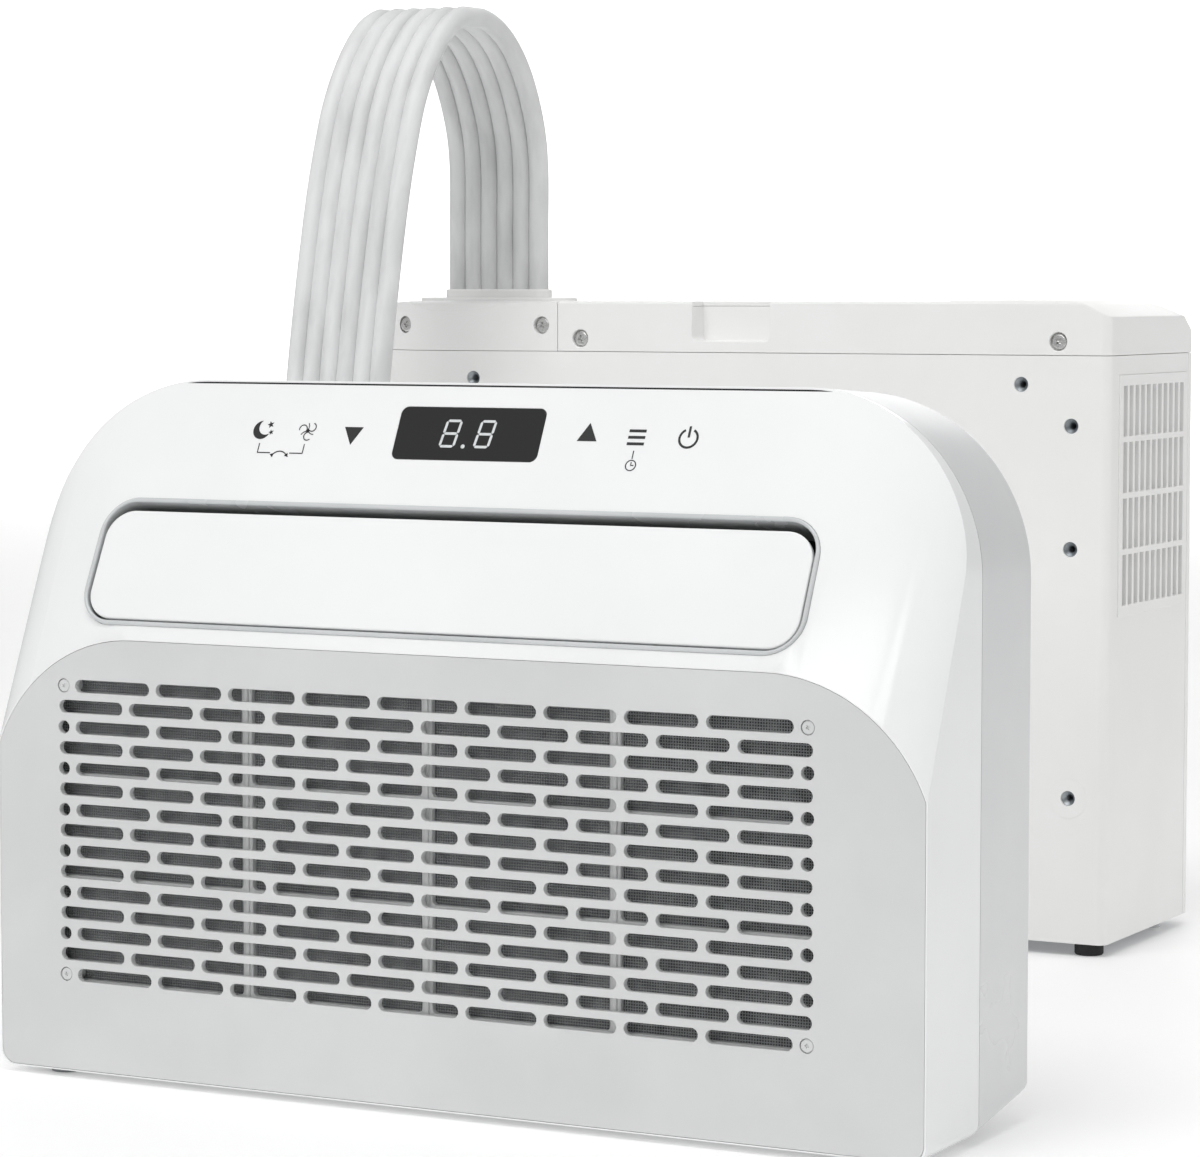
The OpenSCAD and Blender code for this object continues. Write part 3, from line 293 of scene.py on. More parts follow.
def addHoses():
    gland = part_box("outdoor_hose_flange")
    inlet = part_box("indoor_hose_inlet")
    glandX = (gland[0].x + gland[1].x)*500
    backY = indoorCorner.y*1000 + 112
    points = [Vector((glandX + x, backY + y, z)) for x, y, z in ribbonRoute]
    points[0] = Vector((glandX, (gland[0].y + gland[1].y)*500, gland[1].z*1000))
    points[-1] = Vector(((inlet[0].x + inlet[1].x)*500, inlet[1].y*1000, (inlet[0].z + inlet[1].z)*500))
    line = smoothLine(points, 4)
    hoses = []
    for k in range(6):
        path = []
        for i, point in enumerate(line):
            ahead = line[min(i + 1, len(line) - 1)] - line[max(i - 1, 0)]
            if i == 0:
                ahead = Vector((0, 0, 1))
            if i == len(line) - 1:
                ahead = Vector((0, -1, 0))
            point.z = min(point.z, cadBox[1].z*1000 - ribbon["jacket"]/2 - 0.05)
            ahead.normalize()
            across = (Vector((1, 0, 0)) - ahead.x*ahead).normalized()
            path.append((point + across*(k - 2.5)*ribbon["pitch"])/1000)
        curve = bpy.data.curves.new(f"hoseTube{k + 1}", "CURVE")
        curve.dimensions = "3D"
        curve.bevel_depth = ribbon["jacket"]/2000
        curve.bevel_resolution = ribbon["sides"]
        curve.use_fill_caps = True
        spline = curve.splines.new("POLY")
        spline.points.add(len(path) - 1)
        for target, source in zip(spline.points, path):
            target.co = (*source, 1)
        spline.use_smooth = True
        curve.materials.append(hoseFoam)
        hose = bpy.data.objects.new(f"hoseTube{k + 1}", curve)
        bpy.context.scene.collection.objects.link(hose)
        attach(hose, "units")
        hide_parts(f"hose_tube_{k + 1}")
        length = sum((b - a).length for a, b in zip(path, path[1:]))
        hoses.append(length)
    print("hoses made, lengths", [round(x, 3) for x in hoses])


addHoses()

# modelling helpers


def outlineFace(corners, steps=14):
    # a flat face in the x-z plane; each corner is x, z, radius
    bm = bmesh.new()
    verts = [bm.verts.new((x, 0, z)) for x, z, r in corners]
    bm.faces.new(verts)
    for vert, (x, z, r) in zip(verts, corners):
        if r > 0:
            bmesh.ops.bevel(bm, geom=[vert], offset=r, offset_type="OFFSET", affect="VERTICES",
                            segments=steps,
                            profile=0.5, material=-1)
    return bm


def boxCorners(x0, z0, x1, z1, lowR=0, topR=0):
    return [(x0, z0, lowR), (x1, z0, lowR), (x1, z1, topR), (x0, z1, topR)]


def pull(bm, vector):
    made = bmesh.ops.extrude_face_region(bm, geom=bm.faces[:])
    moved = [g for g in made["geom"] if isinstance(g, bmesh.types.BMVert)]
    bmesh.ops.translate(bm, vec=vector, verts=moved)
    bmesh.ops.recalc_face_normals(bm, faces=bm.faces[:])
    return moved


def slab(corners, y0, y1, steps=14):
    bm = outlineFace(corners, steps)
    bmesh.ops.translate(bm, vec=(0, y0, 0), verts=bm.verts[:])
    pull(bm, (0, y1 - y0, 0))
    return bm


def brick(x0, y0, z0, x1, y1, z1):
    bm = bmesh.new()
    bmesh.ops.create_cube(bm, size=1)
    bmesh.ops.scale(bm, vec=(x1 - x0, y1 - y0, z1 - z0), verts=bm.verts[:])
    bmesh.ops.translate(bm, vec=((x0 + x1)/2, (y0 + y1)/2, (z0 + z1)/2), verts=bm.verts[:])
    return bm


def rod(radius, height, segments=32, taper=None):
    # stands on the x-y plane
    bm = bmesh.new()
    bmesh.ops.create_cone(bm, cap_ends=True, segments=segments, radius1=radius,
                          radius2=radius if taper is None else taper, depth=height)
    bmesh.ops.translate(bm, vec=(0, 0, height/2), verts=bm.verts[:])
    return bm


toRoom = Matrix.Rotation(radians(90), 4, "X")     # turns +z to face the room
toBack = Matrix.Rotation(radians(-90), 4, "X")


def turned(bm, matrix):
    bmesh.ops.transform(bm, matrix=matrix, verts=bm.verts[:])
    return bm


def joined(parts):
    whole = bmesh.new()
    for part in parts:
        shared = bpy.data.meshes.new("part")
        part.to_mesh(shared)
        part.free()
        whole.from_mesh(shared)
        bpy.data.meshes.remove(shared)
    return whole


def softened(bm, width, steps=2, limit=30):
    # rounds every edge sharper than the limit
    edges = [e for e in bm.edges if len(e.link_faces) == 2 and e.calc_face_angle(0) > radians(limit)]
    bmesh.ops.bevel(bm, geom=edges, offset=width, offset_type="OFFSET", affect="EDGES", segments=steps,
                    profile=0.5,
                    material=-1, clamp_overlap=True)
    return bm


def asObject(bm, name="scratch"):
    mesh = bpy.data.meshes.new(name)
    bm.to_mesh(mesh)
    bm.free()
    made = bpy.data.objects.new(name, mesh)
    bpy.context.scene.collection.objects.link(made)
    return made


def carved(bm, cuts, mode="DIFFERENCE"):
    # cuts the second shapes out of the first, and gives the result back as a bmesh
    target = asObject(bm)
    tools = [asObject(cut) for cut in cuts]
    for tool in tools:
        step = target.modifiers.new("cut", "BOOLEAN")
        step.operation, step.solver, step.object = mode, "EXACT", tool
    bpy.context.view_layer.update()
    result = bmesh.new()
    result.from_object(target, bpy.context.evaluated_depsgraph_get())
    for thing in [target, *tools]:
        data = thing.data
        bpy.data.objects.remove(thing)
        bpy.data.meshes.remove(data)
    bmesh.ops.remove_doubles(result, verts=result.verts[:], dist=0.002)
    bmesh.ops.dissolve_degenerate(result, dist=0.002, edges=result.edges[:])
    return result


def finishPiece(name, bm, place, material, body="units", replaces=(), edge=0.4, edgeSteps=2):
    # edge is the width of the rounding on sharp edges; folds flatter than smoothTo are shaded smooth
    # the shape is put in place and handed to the frame
    sharpFrom, smoothTo = 32, 34
    bmesh.ops.transform(bm, matrix=place, verts=bm.verts[:])
    for face in bm.faces:
        face.smooth = True
    for e in bm.edges:
        e.smooth = len(e.link_faces) == 2 and e.calc_face_angle(0) < radians(smoothTo)
    made = asObject(bm, name)
    for one in (material if isinstance(material, (list, tuple)) else [material]):
        made.data.materials.append(one)
    if edge:
        bevel = made.modifiers.new("edges", "BEVEL")
        bevel.width, bevel.segments = edge/1000, edgeSteps
        bevel.limit_method, bevel.angle_limit = "ANGLE", radians(sharpFrom)
        bevel.profile, bevel.use_clamp_overlap = 0.5, True
    even = made.modifiers.new("evenNormals", "WEIGHTED_NORMAL")
    even.mode, even.weight, even.keep_sharp = "FACE_AREA", 90, True
    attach(made, body)
    if replaces:
        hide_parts(*replaces)
    return made


# indoor unit
casing = {"halfWidth": 220, "height": 300, "frontDepth": 54, "depth": 112, "panelHeight": 190, "cornerR": 75,
          "wall": 2.4, "baseR": 7, "seatRim": 0.6, "panel": 3.0, "faceSide": 225, "faceBackR": 55}
slopeAngle = atan2(casing["frontDepth"], casing["height"] - casing["panelHeight"])
# frame of the sloped face: x across, y out of the face reversed, z up the slope
slopePlace = Matrix.Translation((0, 0, casing["panelHeight"])) @ Matrix.Rotation(-slopeAngle, 4, "X")


def casingOutline(inset):
    w, h = casing["halfWidth"] - inset, casing["height"] - inset
    return boxCorners(-w, inset, w, h, casing["baseR"], casing["cornerR"] - inset)


def frontBody(inset):
    # the face sweeps back from the panel to the joint while its corners tighten; the straight outline trims it
    shift = inset*0.62
    side, backR = casing["faceSide"] - inset, casing["faceBackR"] - inset*0.7
    depth = casing["frontDepth"] + (0.3 if inset else 0)
    top = casing["height"] - inset
    face = outlineFace(boxCorners(-side, -5, side, top, 0, backR), 24)
    bmesh.ops.translate(face, vec=(0, depth + shift, 0), verts=face.verts[:])
    moved = pull(face, (0, -depth, 0))
    frontTop = casing["panelHeight"] - inset
    frontR = casing["cornerR"] - inset
    for vert in moved:
        if vert.co.z > top - backR - 0.01:
            way = copysign(1, vert.co.x)
            out = Vector((vert.co.x - way*(side - backR), 0, vert.co.z - (top - backR))).normalized()
            spot = Vector((way*(side - frontR), vert.co.y, frontTop - frontR)) + out*frontR
            vert.co = spot
    bmesh.ops.recalc_face_normals(face, faces=face.faces[:])
    straight = slab(casingOutline(inset), -1 if not inset else shift,
                    casing["frontDepth"] + (2 if inset else 0), 24)
    return carved(face, [straight], "INTERSECT")


def panelOutline(inset, y0, y1):
    w, top, r = casing["faceSide"] - inset, casing["panelHeight"] - inset, casing["cornerR"] - inset
    bm = slab([(-w, inset, 0), (w, inset, 0), (w, top, r), (-w, top, r)], y0, y1, 24)
    sides = casing["halfWidth"] - inset
    trim = slab(boxCorners(-sides, inset, sides, 400, casing["baseR"], 0), y0 - 5, y1 + 5)
    return carved(bm, [trim], "INTERSECT")


def onSlope(bm):
    return turned(bm, slopePlace)


def slopeSlab(x, z, w, h, r, b0, b1, steps=12):
    # a rounded plate on the sloped face: centre x, distance up the slope z, from b0 to b1 out of the face
    bm = slab(boxCorners(x - w/2, z - h/2, x + w/2, z + h/2, r, r), -b1, -b0, steps)
    return onSlope(bm)


outlet = {"width": 344, "height": 59.4, "low": 6.3, "r": 16, "rim": 2.0, "depth": 20, "proud": 0.8,
          "flapWidth": 338, "flapHeight": 50.4, "flapR": 13, "flap": 3.0, "axisDepth": 13}
outletMiddle = outlet["low"] + outlet["height"]/2
flapMiddle = outlet["low"] + outlet["rim"] + 1 + outlet["flapHeight"]/2
display = {"up": 99, "width": 70, "height": 24.4, "r": 3.5, "thick": 1.6}


def addFrontShell():
    shell = carved(frontBody(0), [
        frontBody(casing["wall"]),
        panelOutline(casing["seatRim"], -2, casing["panel"]),
        panelOutline(casing["wall"], casing["panel"] - 0.5, casing["panel"] + 2),
        slopeSlab(frontShift, outletMiddle, outlet["width"] + 0.2, outlet["height"] + 0.2, outlet["r"] + 1,
                  -14, 10),
        slopeSlab(frontShift, display["up"], display["width"] + 0.2, display["height"] + 0.2, display["r"],
                  -12, 10)])
    finishPiece("frontShell", shell, indoorPlace, glossAbs, replaces=["front_casing"],
                edge=0.35)


grille = {"rows": 15, "pitch": 9.0, "slot": 5.8, "bar": 3.3, "long": 38.4, "short": 33.4, "evenPitch": 36.2,
          "middle": 105.5, "screwX": 177, "screwUp": 63}


def slotLoop(bm, x, z, length, y):
    made = bmesh.ops.create_circle(bm, segments=16, radius=grille["slot"]/2)["verts"]
    bmesh.ops.rotate(bm, matrix=Matrix.Rotation(radians(90), 3, "X"), cent=(0, 0, 0), verts=made)
    push = (length - grille["slot"])/2
    if push > 0:
        bmesh.ops.rotate(bm, matrix=Matrix.Rotation(radians(11.25), 3, "Y"), cent=(0, 0, 0), verts=made)
        for vert in made:
            vert.co.x += copysign(push, vert.co.x)
    bmesh.ops.translate(bm, vec=(x, y, z), verts=made)


def addGrillePanel():
    plate = panelOutline(casing["seatRim"] + 0.2, 0, casing["panel"])
    # keep only the front face's outline, then lay the slots in it
    back = [f for f in plate.faces if f.normal.y > -0.9]
    bmesh.ops.delete(plate, geom=back, context="FACES")
    bmesh.ops.delete(plate, geom=[f for f in plate.faces], context="FACES_ONLY")
    loose = [e for e in plate.edges if abs(e.verts[0].co.y) > 0.01 or abs(e.verts[1].co.y) > 0.01]
    bmesh.ops.delete(plate, geom=loose, context="EDGES")
    bmesh.ops.delete(plate, geom=[v for v in plate.verts if not v.link_edges], context="VERTS")
    short, long, bar = grille["short"], grille["long"], grille["bar"]
    lengths = [long if k % 4 == 0 else short for k in range(9)]
    span = sum(lengths) + 8*bar
    for row in range(grille["rows"]):
        z = grille["middle"] + (7 - row)*grille["pitch"]
        if row % 2 == 0:
            x = frontShift - span/2
            for length in lengths:
                slotLoop(plate, x + length/2, z, length, 0)
                x += length + bar
            if 0 < row < 14:
                for way in (-1, 1):
                    slotLoop(plate, frontShift + way*grille["screwX"], z, grille["slot"], 0)
        else:
            for k in range(10):
                slotLoop(plate, frontShift + (k - 4.5)*grille["evenPitch"], z, grille["evenPitch"] - bar, 0)
    bmesh.ops.triangle_fill(plate, use_beauty=True, use_dissolve=False, edges=plate.edges[:],
                            normal=(0, -1, 0))
    pull(plate, (0, casing["panel"], 0))
    softened(plate, 0.45, 3, 60)
    # seats of the four screws
    seats = []
    for way in (-1, 1):
        for z in (grille["middle"] - grille["screwUp"], grille["middle"] + grille["screwUp"]):
            seat = rod(3.1, 1.6, 24)
            seats.append(turned(seat, Matrix.Translation((frontShift + way*grille["screwX"], 1.4,
                                                          z)) @ toRoom))
    plate = carved(plate, [joined(seats)])
    finishPiece("grillePanel", plate, indoorPlace, satinAbs, replaces=["grille_panel"],
                edge=0)


def crossHead(radius, height, recess=0.55):
    # pan head with a cross recess, standing on the x-y plane and facing +z
    head = rod(radius, height, 28)
    edges = [e for e in head.edges if all(v.co.z > height - 0.01 for v in e.verts)]
    bmesh.ops.bevel(head, geom=edges, offset=height*0.45, affect="EDGES", segments=3, profile=0.5,
                    material=-1)
    bars = []
    for turn in (0, 90):
        bar = brick(-radius*recess, -radius*0.13, height*0.45, radius*recess, radius*0.13, height + 1)
        for vert in bar.verts:
            if vert.co.z < height:
                vert.co.x *= 0.45
        bars.append(turned(bar, Matrix.Rotation(radians(turn), 4, "Z")))
    return carved(head, bars)


def screwsAt(spots, facing, radius, height, shank, shankRadius):
    parts = []
    for turn, spot in enumerate(spots):
        place = Matrix.Translation(spot) @ facing @ Matrix.Rotation(radians(17 + 31*turn), 4, "Z")
        parts.append(turned(crossHead(radius, height), place))
        stem = rod(shankRadius, shank, 16)
        parts.append(turned(stem, place @ Matrix.Translation((0, 0, -shank))))
    return joined(parts)



screen = {"width": 380, "height": 142, "front": 6, "back": 9, "border": 5, "rib": 2.5,
          "uprights": (-87, 1, 89),
          "cross": 22.5, "crossRib": 2}


def addFilter():
    wide, tall, low = screen["width"], screen["height"], grille["middle"] - screen["height"]/2
    y0, y1 = screen["front"], screen["back"]
    ribs = slab(boxCorners(-wide/2, low, wide/2, low + tall, 6, 6), y0, y1)
    holes = []
    xs = [-184] + [x + way*screen["rib"] for x in screen["uprights"] for way in (-1, 1)] + [184]
    crossings = [grille["middle"] + side*screen["cross"] + way*screen["crossRib"] for side in (-1,
                                                                                               1) for way in (-1, 1)]
    zs = [low + screen["border"]] + crossings + [low + tall - screen["border"]]
    for i in range(0, 8, 2):
        for j in range(0, 6, 2):
            holes.append(slab(boxCorners(xs[i], zs[j], xs[i + 1], zs[j + 1], 2, 2), y0 - 1, y1 + 1, 4))
    ribs = carved(ribs, [joined(holes)])
    # a raised spine on each upright rib
    spines = [brick(x - 1, y0 - 0.8, low + 4, x + 1, y0 + 0.5, low + tall - 4) for x in screen["uprights"]]
    posts = []
    for way in (-1, 1):
        for z in (grille["middle"] - grille["screwUp"], grille["middle"] + grille["screwUp"]):
            posts.append(turned(rod(4, 5.9, 24), Matrix.Translation((way*grille["screwX"], 9, z)) @ toRoom))
    finishPiece("filterFrame", joined([ribs, *spines, *posts]), frontPlace, filterFrameAbs,
                replaces=["filter_frame"],
                edge=0.4)
    spots = [(way*grille["screwX"], 1.4, z) for way in (-1, 1) for z in (grille["middle"] - grille["screwUp"],
                                                                         grille["middle"] + grille["screwUp"])]
    finishPiece("panelScrews", screwsAt(spots, toRoom, 2.8, 1.1, 8, 1.4), frontPlace, satinAbs,
                replaces=["panel_screws"],
                edge=0)


def addOutlet():
    w, h, r = outlet["width"], outlet["height"], outlet["r"]
    ring = slopeSlab(0, outletMiddle, w, h, r + 1, -outlet["depth"], outlet["proud"], 16)
    hole = slopeSlab(0, outletMiddle, w - 2*outlet["rim"], h - 2*outlet["rim"], r - 2, -outlet["depth"] - 5,
                     9, 16)
    bores = []
    for way in (-1, 1):
        pin = turned(rod(2.05, 12, 24), Matrix.Rotation(radians(90), 4, "Y"))
        bores.append(onSlope(turned(pin, Matrix.Translation((way*170 - 6, outlet["axisDepth"], flapMiddle)))))
    ring = carved(ring, [hole, joined(bores)])
    finishPiece("outletTrim", ring, frontPlace, trimAbs, replaces=["outlet_trim"], edge=0.7,
                edgeSteps=3)
    flap = slopeSlab(0, flapMiddle, outlet["flapWidth"], outlet["flapHeight"], outlet["flapR"],
                     -outlet["flap"], 0, 16)
    parts = [flap]
    for way in (-1, 1):
        x = way*163
        ear = slab(boxCorners(x - 1.5, flapMiddle - 5, x + 1.5, flapMiddle + 5), 1, outlet["axisDepth"])
        parts.append(onSlope(ear))
        hub = turned(rod(5, 3, 32), Matrix.Rotation(radians(90), 4, "Y"))
        parts.append(onSlope(turned(hub, Matrix.Translation((x - 1.5, outlet["axisDepth"], flapMiddle)))))
        pin = turned(rod(2, 8.8, 24), Matrix.Rotation(radians(90), 4, "Y"))
        pinStart = x if way > 0 else x - 8.8
        parts.append(onSlope(turned(pin, Matrix.Translation((pinStart, outlet["axisDepth"], flapMiddle)))))
    # stiffening rib along the inside
    rib = slab(boxCorners(-150, flapMiddle - 1, 150, flapMiddle + 1, 0, 0), 2.5, 7)
    parts.append(onSlope(rib))
    finishPiece("outletFlap", joined(parts), frontPlace, glossAbs, body="flap", replaces=["outlet_flap"],
                edge=0.6, edgeSteps=3)


def segmentBar(length, thick, x, z, upright):
    # one bar of a digit with pointed ends
    half, t = length/2, thick/2
    corners = [(-half, 0, 0), (-half + t, -t, 0), (half - t, -t, 0), (half, 0, 0), (half - t, t, 0),
               (-half + t, t, 0)]
    bm = outlineFace([(a, b, r) for a, b, r in corners])
    if upright:
        turned(bm, Matrix.Rotation(radians(90), 4, "Y"))
    return turned(bm, Matrix.Translation((x, 0, z)))


def digit(x, height=12.9, width=7.8, thick=1.15, slant=7):
    h, w, gap = height/2 - thick/2, width - thick, 0.3
    bars = [segmentBar(w - gap, thick, 0, z, False) for z in (-h, 0, h)]
    for side in (-w/2, w/2):
        for z in (-h/2, h/2):
            bars.append(segmentBar(h - gap, thick, side, z, True))
    bm = joined(bars)
    for vert in bm.verts:
        vert.co.x += vert.co.z*tan(radians(slant)) + x
    return bm


def arcStroke(radius, start, sweep, thick, steps=20):
    # a line of even thickness along part of a circle, in the x-z plane
    bm = bmesh.new()
    a = bm.verts.new(((radius - thick/2)*cos(radians(start)), 0, (radius - thick/2)*sin(radians(start))))
    b = bm.verts.new(((radius + thick/2)*cos(radians(start)), 0, (radius + thick/2)*sin(radians(start))))
    edge = bm.edges.new((a, b))
    bmesh.ops.spin(bm, geom=[a, b, edge], cent=(0, 0, 0), axis=(0, 1, 0), angle=-radians(sweep), steps=steps,
                   use_merge=abs(sweep) >= 360)
    return bm


def barStroke(x0, z0, x1, z1, thick):
    run = Vector((x1 - x0, 0, z1 - z0))
    bm = outlineFace(boxCorners(-run.length/2, -thick/2, run.length/2, thick/2))
    return turned(bm, Matrix.Translation(((x0 + x1)/2, 0, (z0 + z1)/2)) @ Matrix.Rotation(-atan2(run.z,
                                                                                                 run.x), 4,
                                                                                          "Y"))


def disc(radius, segments=24):
    bm = bmesh.new()
    bmesh.ops.create_circle(bm, cap_ends=True, segments=segments, radius=radius)
    return turned(bm, Matrix.Rotation(radians(90), 4, "X"))


def star(x, z, radius):
    bm = disc(radius, 10)
    for i, vert in enumerate(sorted(bm.verts, key=lambda v: atan2(v.co.z, v.co.x))):
        if i % 2:
            vert.co *= 0.42
    return turned(bm, Matrix.Translation((x, 0, z)) @ Matrix.Rotation(radians(18), 4, "Y"))


def moon(radius):
    ball = disc(radius, 40)
    pull(ball, (0, 0.4, 0))
    bite = disc(radius*0.86, 40)
    bmesh.ops.translate(bite, vec=(radius*0.48, -1, radius*0.34), verts=bite.verts[:])
    pull(bite, (0, 3, 0))
    left = carved(ball, [bite])
    back = [f for f in left.faces if f.normal.y > -0.9]
    bmesh.ops.delete(left, geom=back, context="FACES")
    return left


def swirl():
    # three curled strokes round a small hub
    parts = [disc(0.7, 16)]
    for turn in (0, 120, 240):
        curl = joined([turned(arcStroke(1.9, 200, 235, 0.45, 14), Matrix.Translation((1.9, 0, 1.7))),
                       turned(arcStroke(2.9, 205, 70, 0.4, 8), Matrix.Translation((2.9, 0, 1.3)))])
        parts.append(turned(curl, Matrix.Rotation(radians(turn), 4, "Y")))
    return joined(parts)


def addDisplay():
    window = slopeSlab(0, display["up"], display["width"], display["height"], display["r"] - 0.1,
                       -display["thick"], 0.15, 10)
    finishPiece("displayWindow", window, frontPlace, smokedAcrylic, replaces=["display_window"],
                edge=0.25)
    figures = joined([digit(-8.6), digit(8.0)])
    dot = turned(disc(0.95, 16), Matrix.Translation((-1.4, 0, -5.8)))
    figures = joined([figures, dot])
    bmesh.ops.translate(figures, vec=(0, -0.2, display["up"]), verts=figures.verts[:])
    pull(figures, (0, 0.12, 0))
    finishPiece("displayDigits", onSlope(figures), frontPlace, segmentLight, edge=0)


def addIcons():
    line = 0.45
    parts = [turned(moon(4.3), Matrix.Translation((-102.5, 0, 0))), star(-98.6, 2.6, 1.7),
             star(-97.6, -1.0, 1.3),
             turned(swirl(), Matrix.Translation((-79.3, 0, 0)))]
    for x, way in ((-56.5, -1), (56.5, 1)):
        arrow = turned(disc(5.6, 3), Matrix.Rotation(radians(90 - 90*way), 4, "Y"))
        bmesh.ops.scale(arrow, vec=(0.95, 1, 0.98), verts=arrow.verts[:])
        parts.append(turned(arrow, Matrix.Translation((x, 0, 0.6*way))))
    # mode: three equal bars; power: broken ring with a bar
    for z in (2.9, 0, -2.9):
        parts.append(barStroke(75.4, z, 83.2, z, 1.25))
    parts.append(turned(arcStroke(4.1, 118, 304, 1.0, 28), Matrix.Translation((103, 0, 0))))
    parts.append(barStroke(103, 0.4, 103, 5.4, 1.0))
    # brackets that tie the night and swing symbols to an arrow pair, and the mode symbol to a clock
    parts += [barStroke(-102, -6.2, -102, -10.6, line), barStroke(-102, -10.6, -95.6, -10.6, line),
              barStroke(-79.3, -6.2, -79.3, -10.6, line), barStroke(-85.8, -10.6, -79.3, -10.6, line)]
    parts.append(turned(arcStroke(4.4, 40, 100, 0.5, 12), Matrix.Translation((-90.7, 0, -14.2))))
    for way in (-1, 1):
        tip = turned(disc(1.15, 3), Matrix.Rotation(radians(90 + 45*way), 4, "Y"))
        parts.append(turned(tip, Matrix.Translation((-90.7 + way*3.7, 0, -11.6))))
    parts += [barStroke(79.3, -6.0, 79.3, -9.6, line),
              turned(arcStroke(2.3, 0, 360, 0.45, 24), Matrix.Translation((79.3, 0, -12.6))),
              barStroke(79.3, -12.6, 79.3, -11.1, 0.4), barStroke(79.3, -12.6, 80.6, -12.6, 0.4)]
    ink = joined(parts)
    for vert in ink.verts:
        vert.co.y = -0.12
    bmesh.ops.translate(ink, vec=(0, 0, display["up"]), verts=ink.verts[:])
    pull(ink, (0, 0.1, 0))
    finishPiece("touchSymbols", onSlope(ink), frontPlace, printedInk, replaces=["touch_icons"],
                edge=0)


rear = {"rise": 8, "fall": 3, "edge": 7, "seam": 0.5, "inletWidth": 65.2, "inletHeight": 14.2, "powerX": 120,
        "powerZ": 52,
        "wellR": 4.9, "cupR": 6}
rearWells = [(x, z) for x in (-204, 204) for z in (30, 215)]


def rearBody(inset):
    y0 = casing["frontDepth"] + rear["seam"] - (3 if inset else 0)
    body = slab(casingOutline(inset), y0, casing["depth"] - inset, 24)
    run = casing["depth"] - casing["frontDepth"]
    for vert in body.verts:
        t = max(0, (vert.co.y - casing["frontDepth"])/run)
        if vert.co.z < 20:
            vert.co.z += rear["rise"]*t
        elif vert.co.z > 200:
            vert.co.z -= rear["fall"]*t
    if not inset:
        back = [e for e in body.edges if all(v.co.y > casing["depth"] - 0.1 for v in e.verts)]
        bmesh.ops.bevel(body, geom=back, offset=rear["edge"], offset_type="OFFSET", affect="EDGES",
                        segments=6,
                        profile=0.5, material=-1)
    return body


def addRearCasing():
    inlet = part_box("indoor_hose_inlet")
    x = (inlet[0].x + inlet[1].x)*500 - indoorCorner.x*1000
    z = (inlet[0].z + inlet[1].z)*500 - indoorCorner.z*1000
    wide, tall = rear["inletWidth"], rear["inletHeight"]
    cuts = [rearBody(casing["wall"]),
            slab(boxCorners(x - wide/2, z - tall/2, x + wide/2, z + tall/2, 6, 6), 100, 120, 8),
            slab(boxCorners(rear["powerX"] - 14, rear["powerZ"] - 10, rear["powerX"] + 14,
                            rear["powerZ"] + 10, 2, 2),
                 100, 120, 4)]
    cuts += [turned(rod(rear["wellR"], 12, 32), Matrix.Translation((sx, 119.5, sz)) @ toRoom) for sx,
             sz in rearWells]
    shell = carved(rearBody(0), cuts)
    # the rear shell takes the grey that is painted shade
    finishPiece("rearShell", shell, indoorPlace, rearShadedAbs, replaces=["rear_casing"],
                edge=0.4)
    # dark foam seal in the joint between the two shells; its black is painted shade, put there so the seam gap reads
    # dark
    seal = carved(slab(casingOutline(0.9), 53.2, 55.2, 24), [slab(casingOutline(2.3), 50, 58, 24)])
    finishPiece("jointShadeSeal", seal, indoorPlace, blackRubber, edge=0)
    # cups that hold the screws
    cups = []
    for sx, sz in rearWells:
        cup = carved(rod(rear["cupR"], 12, 32), [turned(rod(rear["wellR"], 10, 32),
                                                        Matrix.Translation((0, 0, 7)))])
        cups.append(turned(cup, Matrix.Translation((sx, 99.5, sz)) @ toBack))
    finishPiece("screwCups", joined(cups), indoorPlace, rearShadedAbs, edge=0.3)
    spots = [(sx, 106.6, sz) for sx, sz in rearWells]
    finishPiece("rearScrews", screwsAt(spots, toBack, 4, 2.2, 8, 1.6), indoorPlace, zincScrew,
                replaces=["rear_screws"],
                edge=0)
    flange = slab(boxCorners(x - 40.5, z - 15, x + 40.5, z + 15, 14, 14), 112, 115.5, 10)
    collar = slab(boxCorners(x - 32.5, z - 7, x + 32.5, z + 7, 6, 6), 106, 112, 8)
    finishPiece("indoorHoseFlange", joined([flange, collar]), indoorPlace, cabinetAsa,
                replaces=["indoor_hose_inlet"],
                edge=0.8, edgeSteps=3)


def addFeet():
    pads = []
    for x in (-195, 195):
        for y in (14, 43):
            pads.append(turned(rod(7, 3, 32), Matrix.Translation((x, y, -3))))
    finishPiece("indoorPads", joined(pads), indoorPlace, greyRubber, replaces=["indoor_feet"],
                edge=0.6)


addFrontShell()
print("front shell made")
addGrillePanel()
addFilter()
print("grille and filter made")
addOutlet()
addDisplay()
addIcons()
addRearCasing()
addFeet()
print("indoor unit made")

# outdoor unit
cabinet = {"halfWidth": 225, "depth": 134, "height": 330, "body": 302, "wall": 2.5, "bulgeR": 60, "bulge": 5,
           "frontR": 5, "rearR": 12, "glandX": -93, "blend": 45}


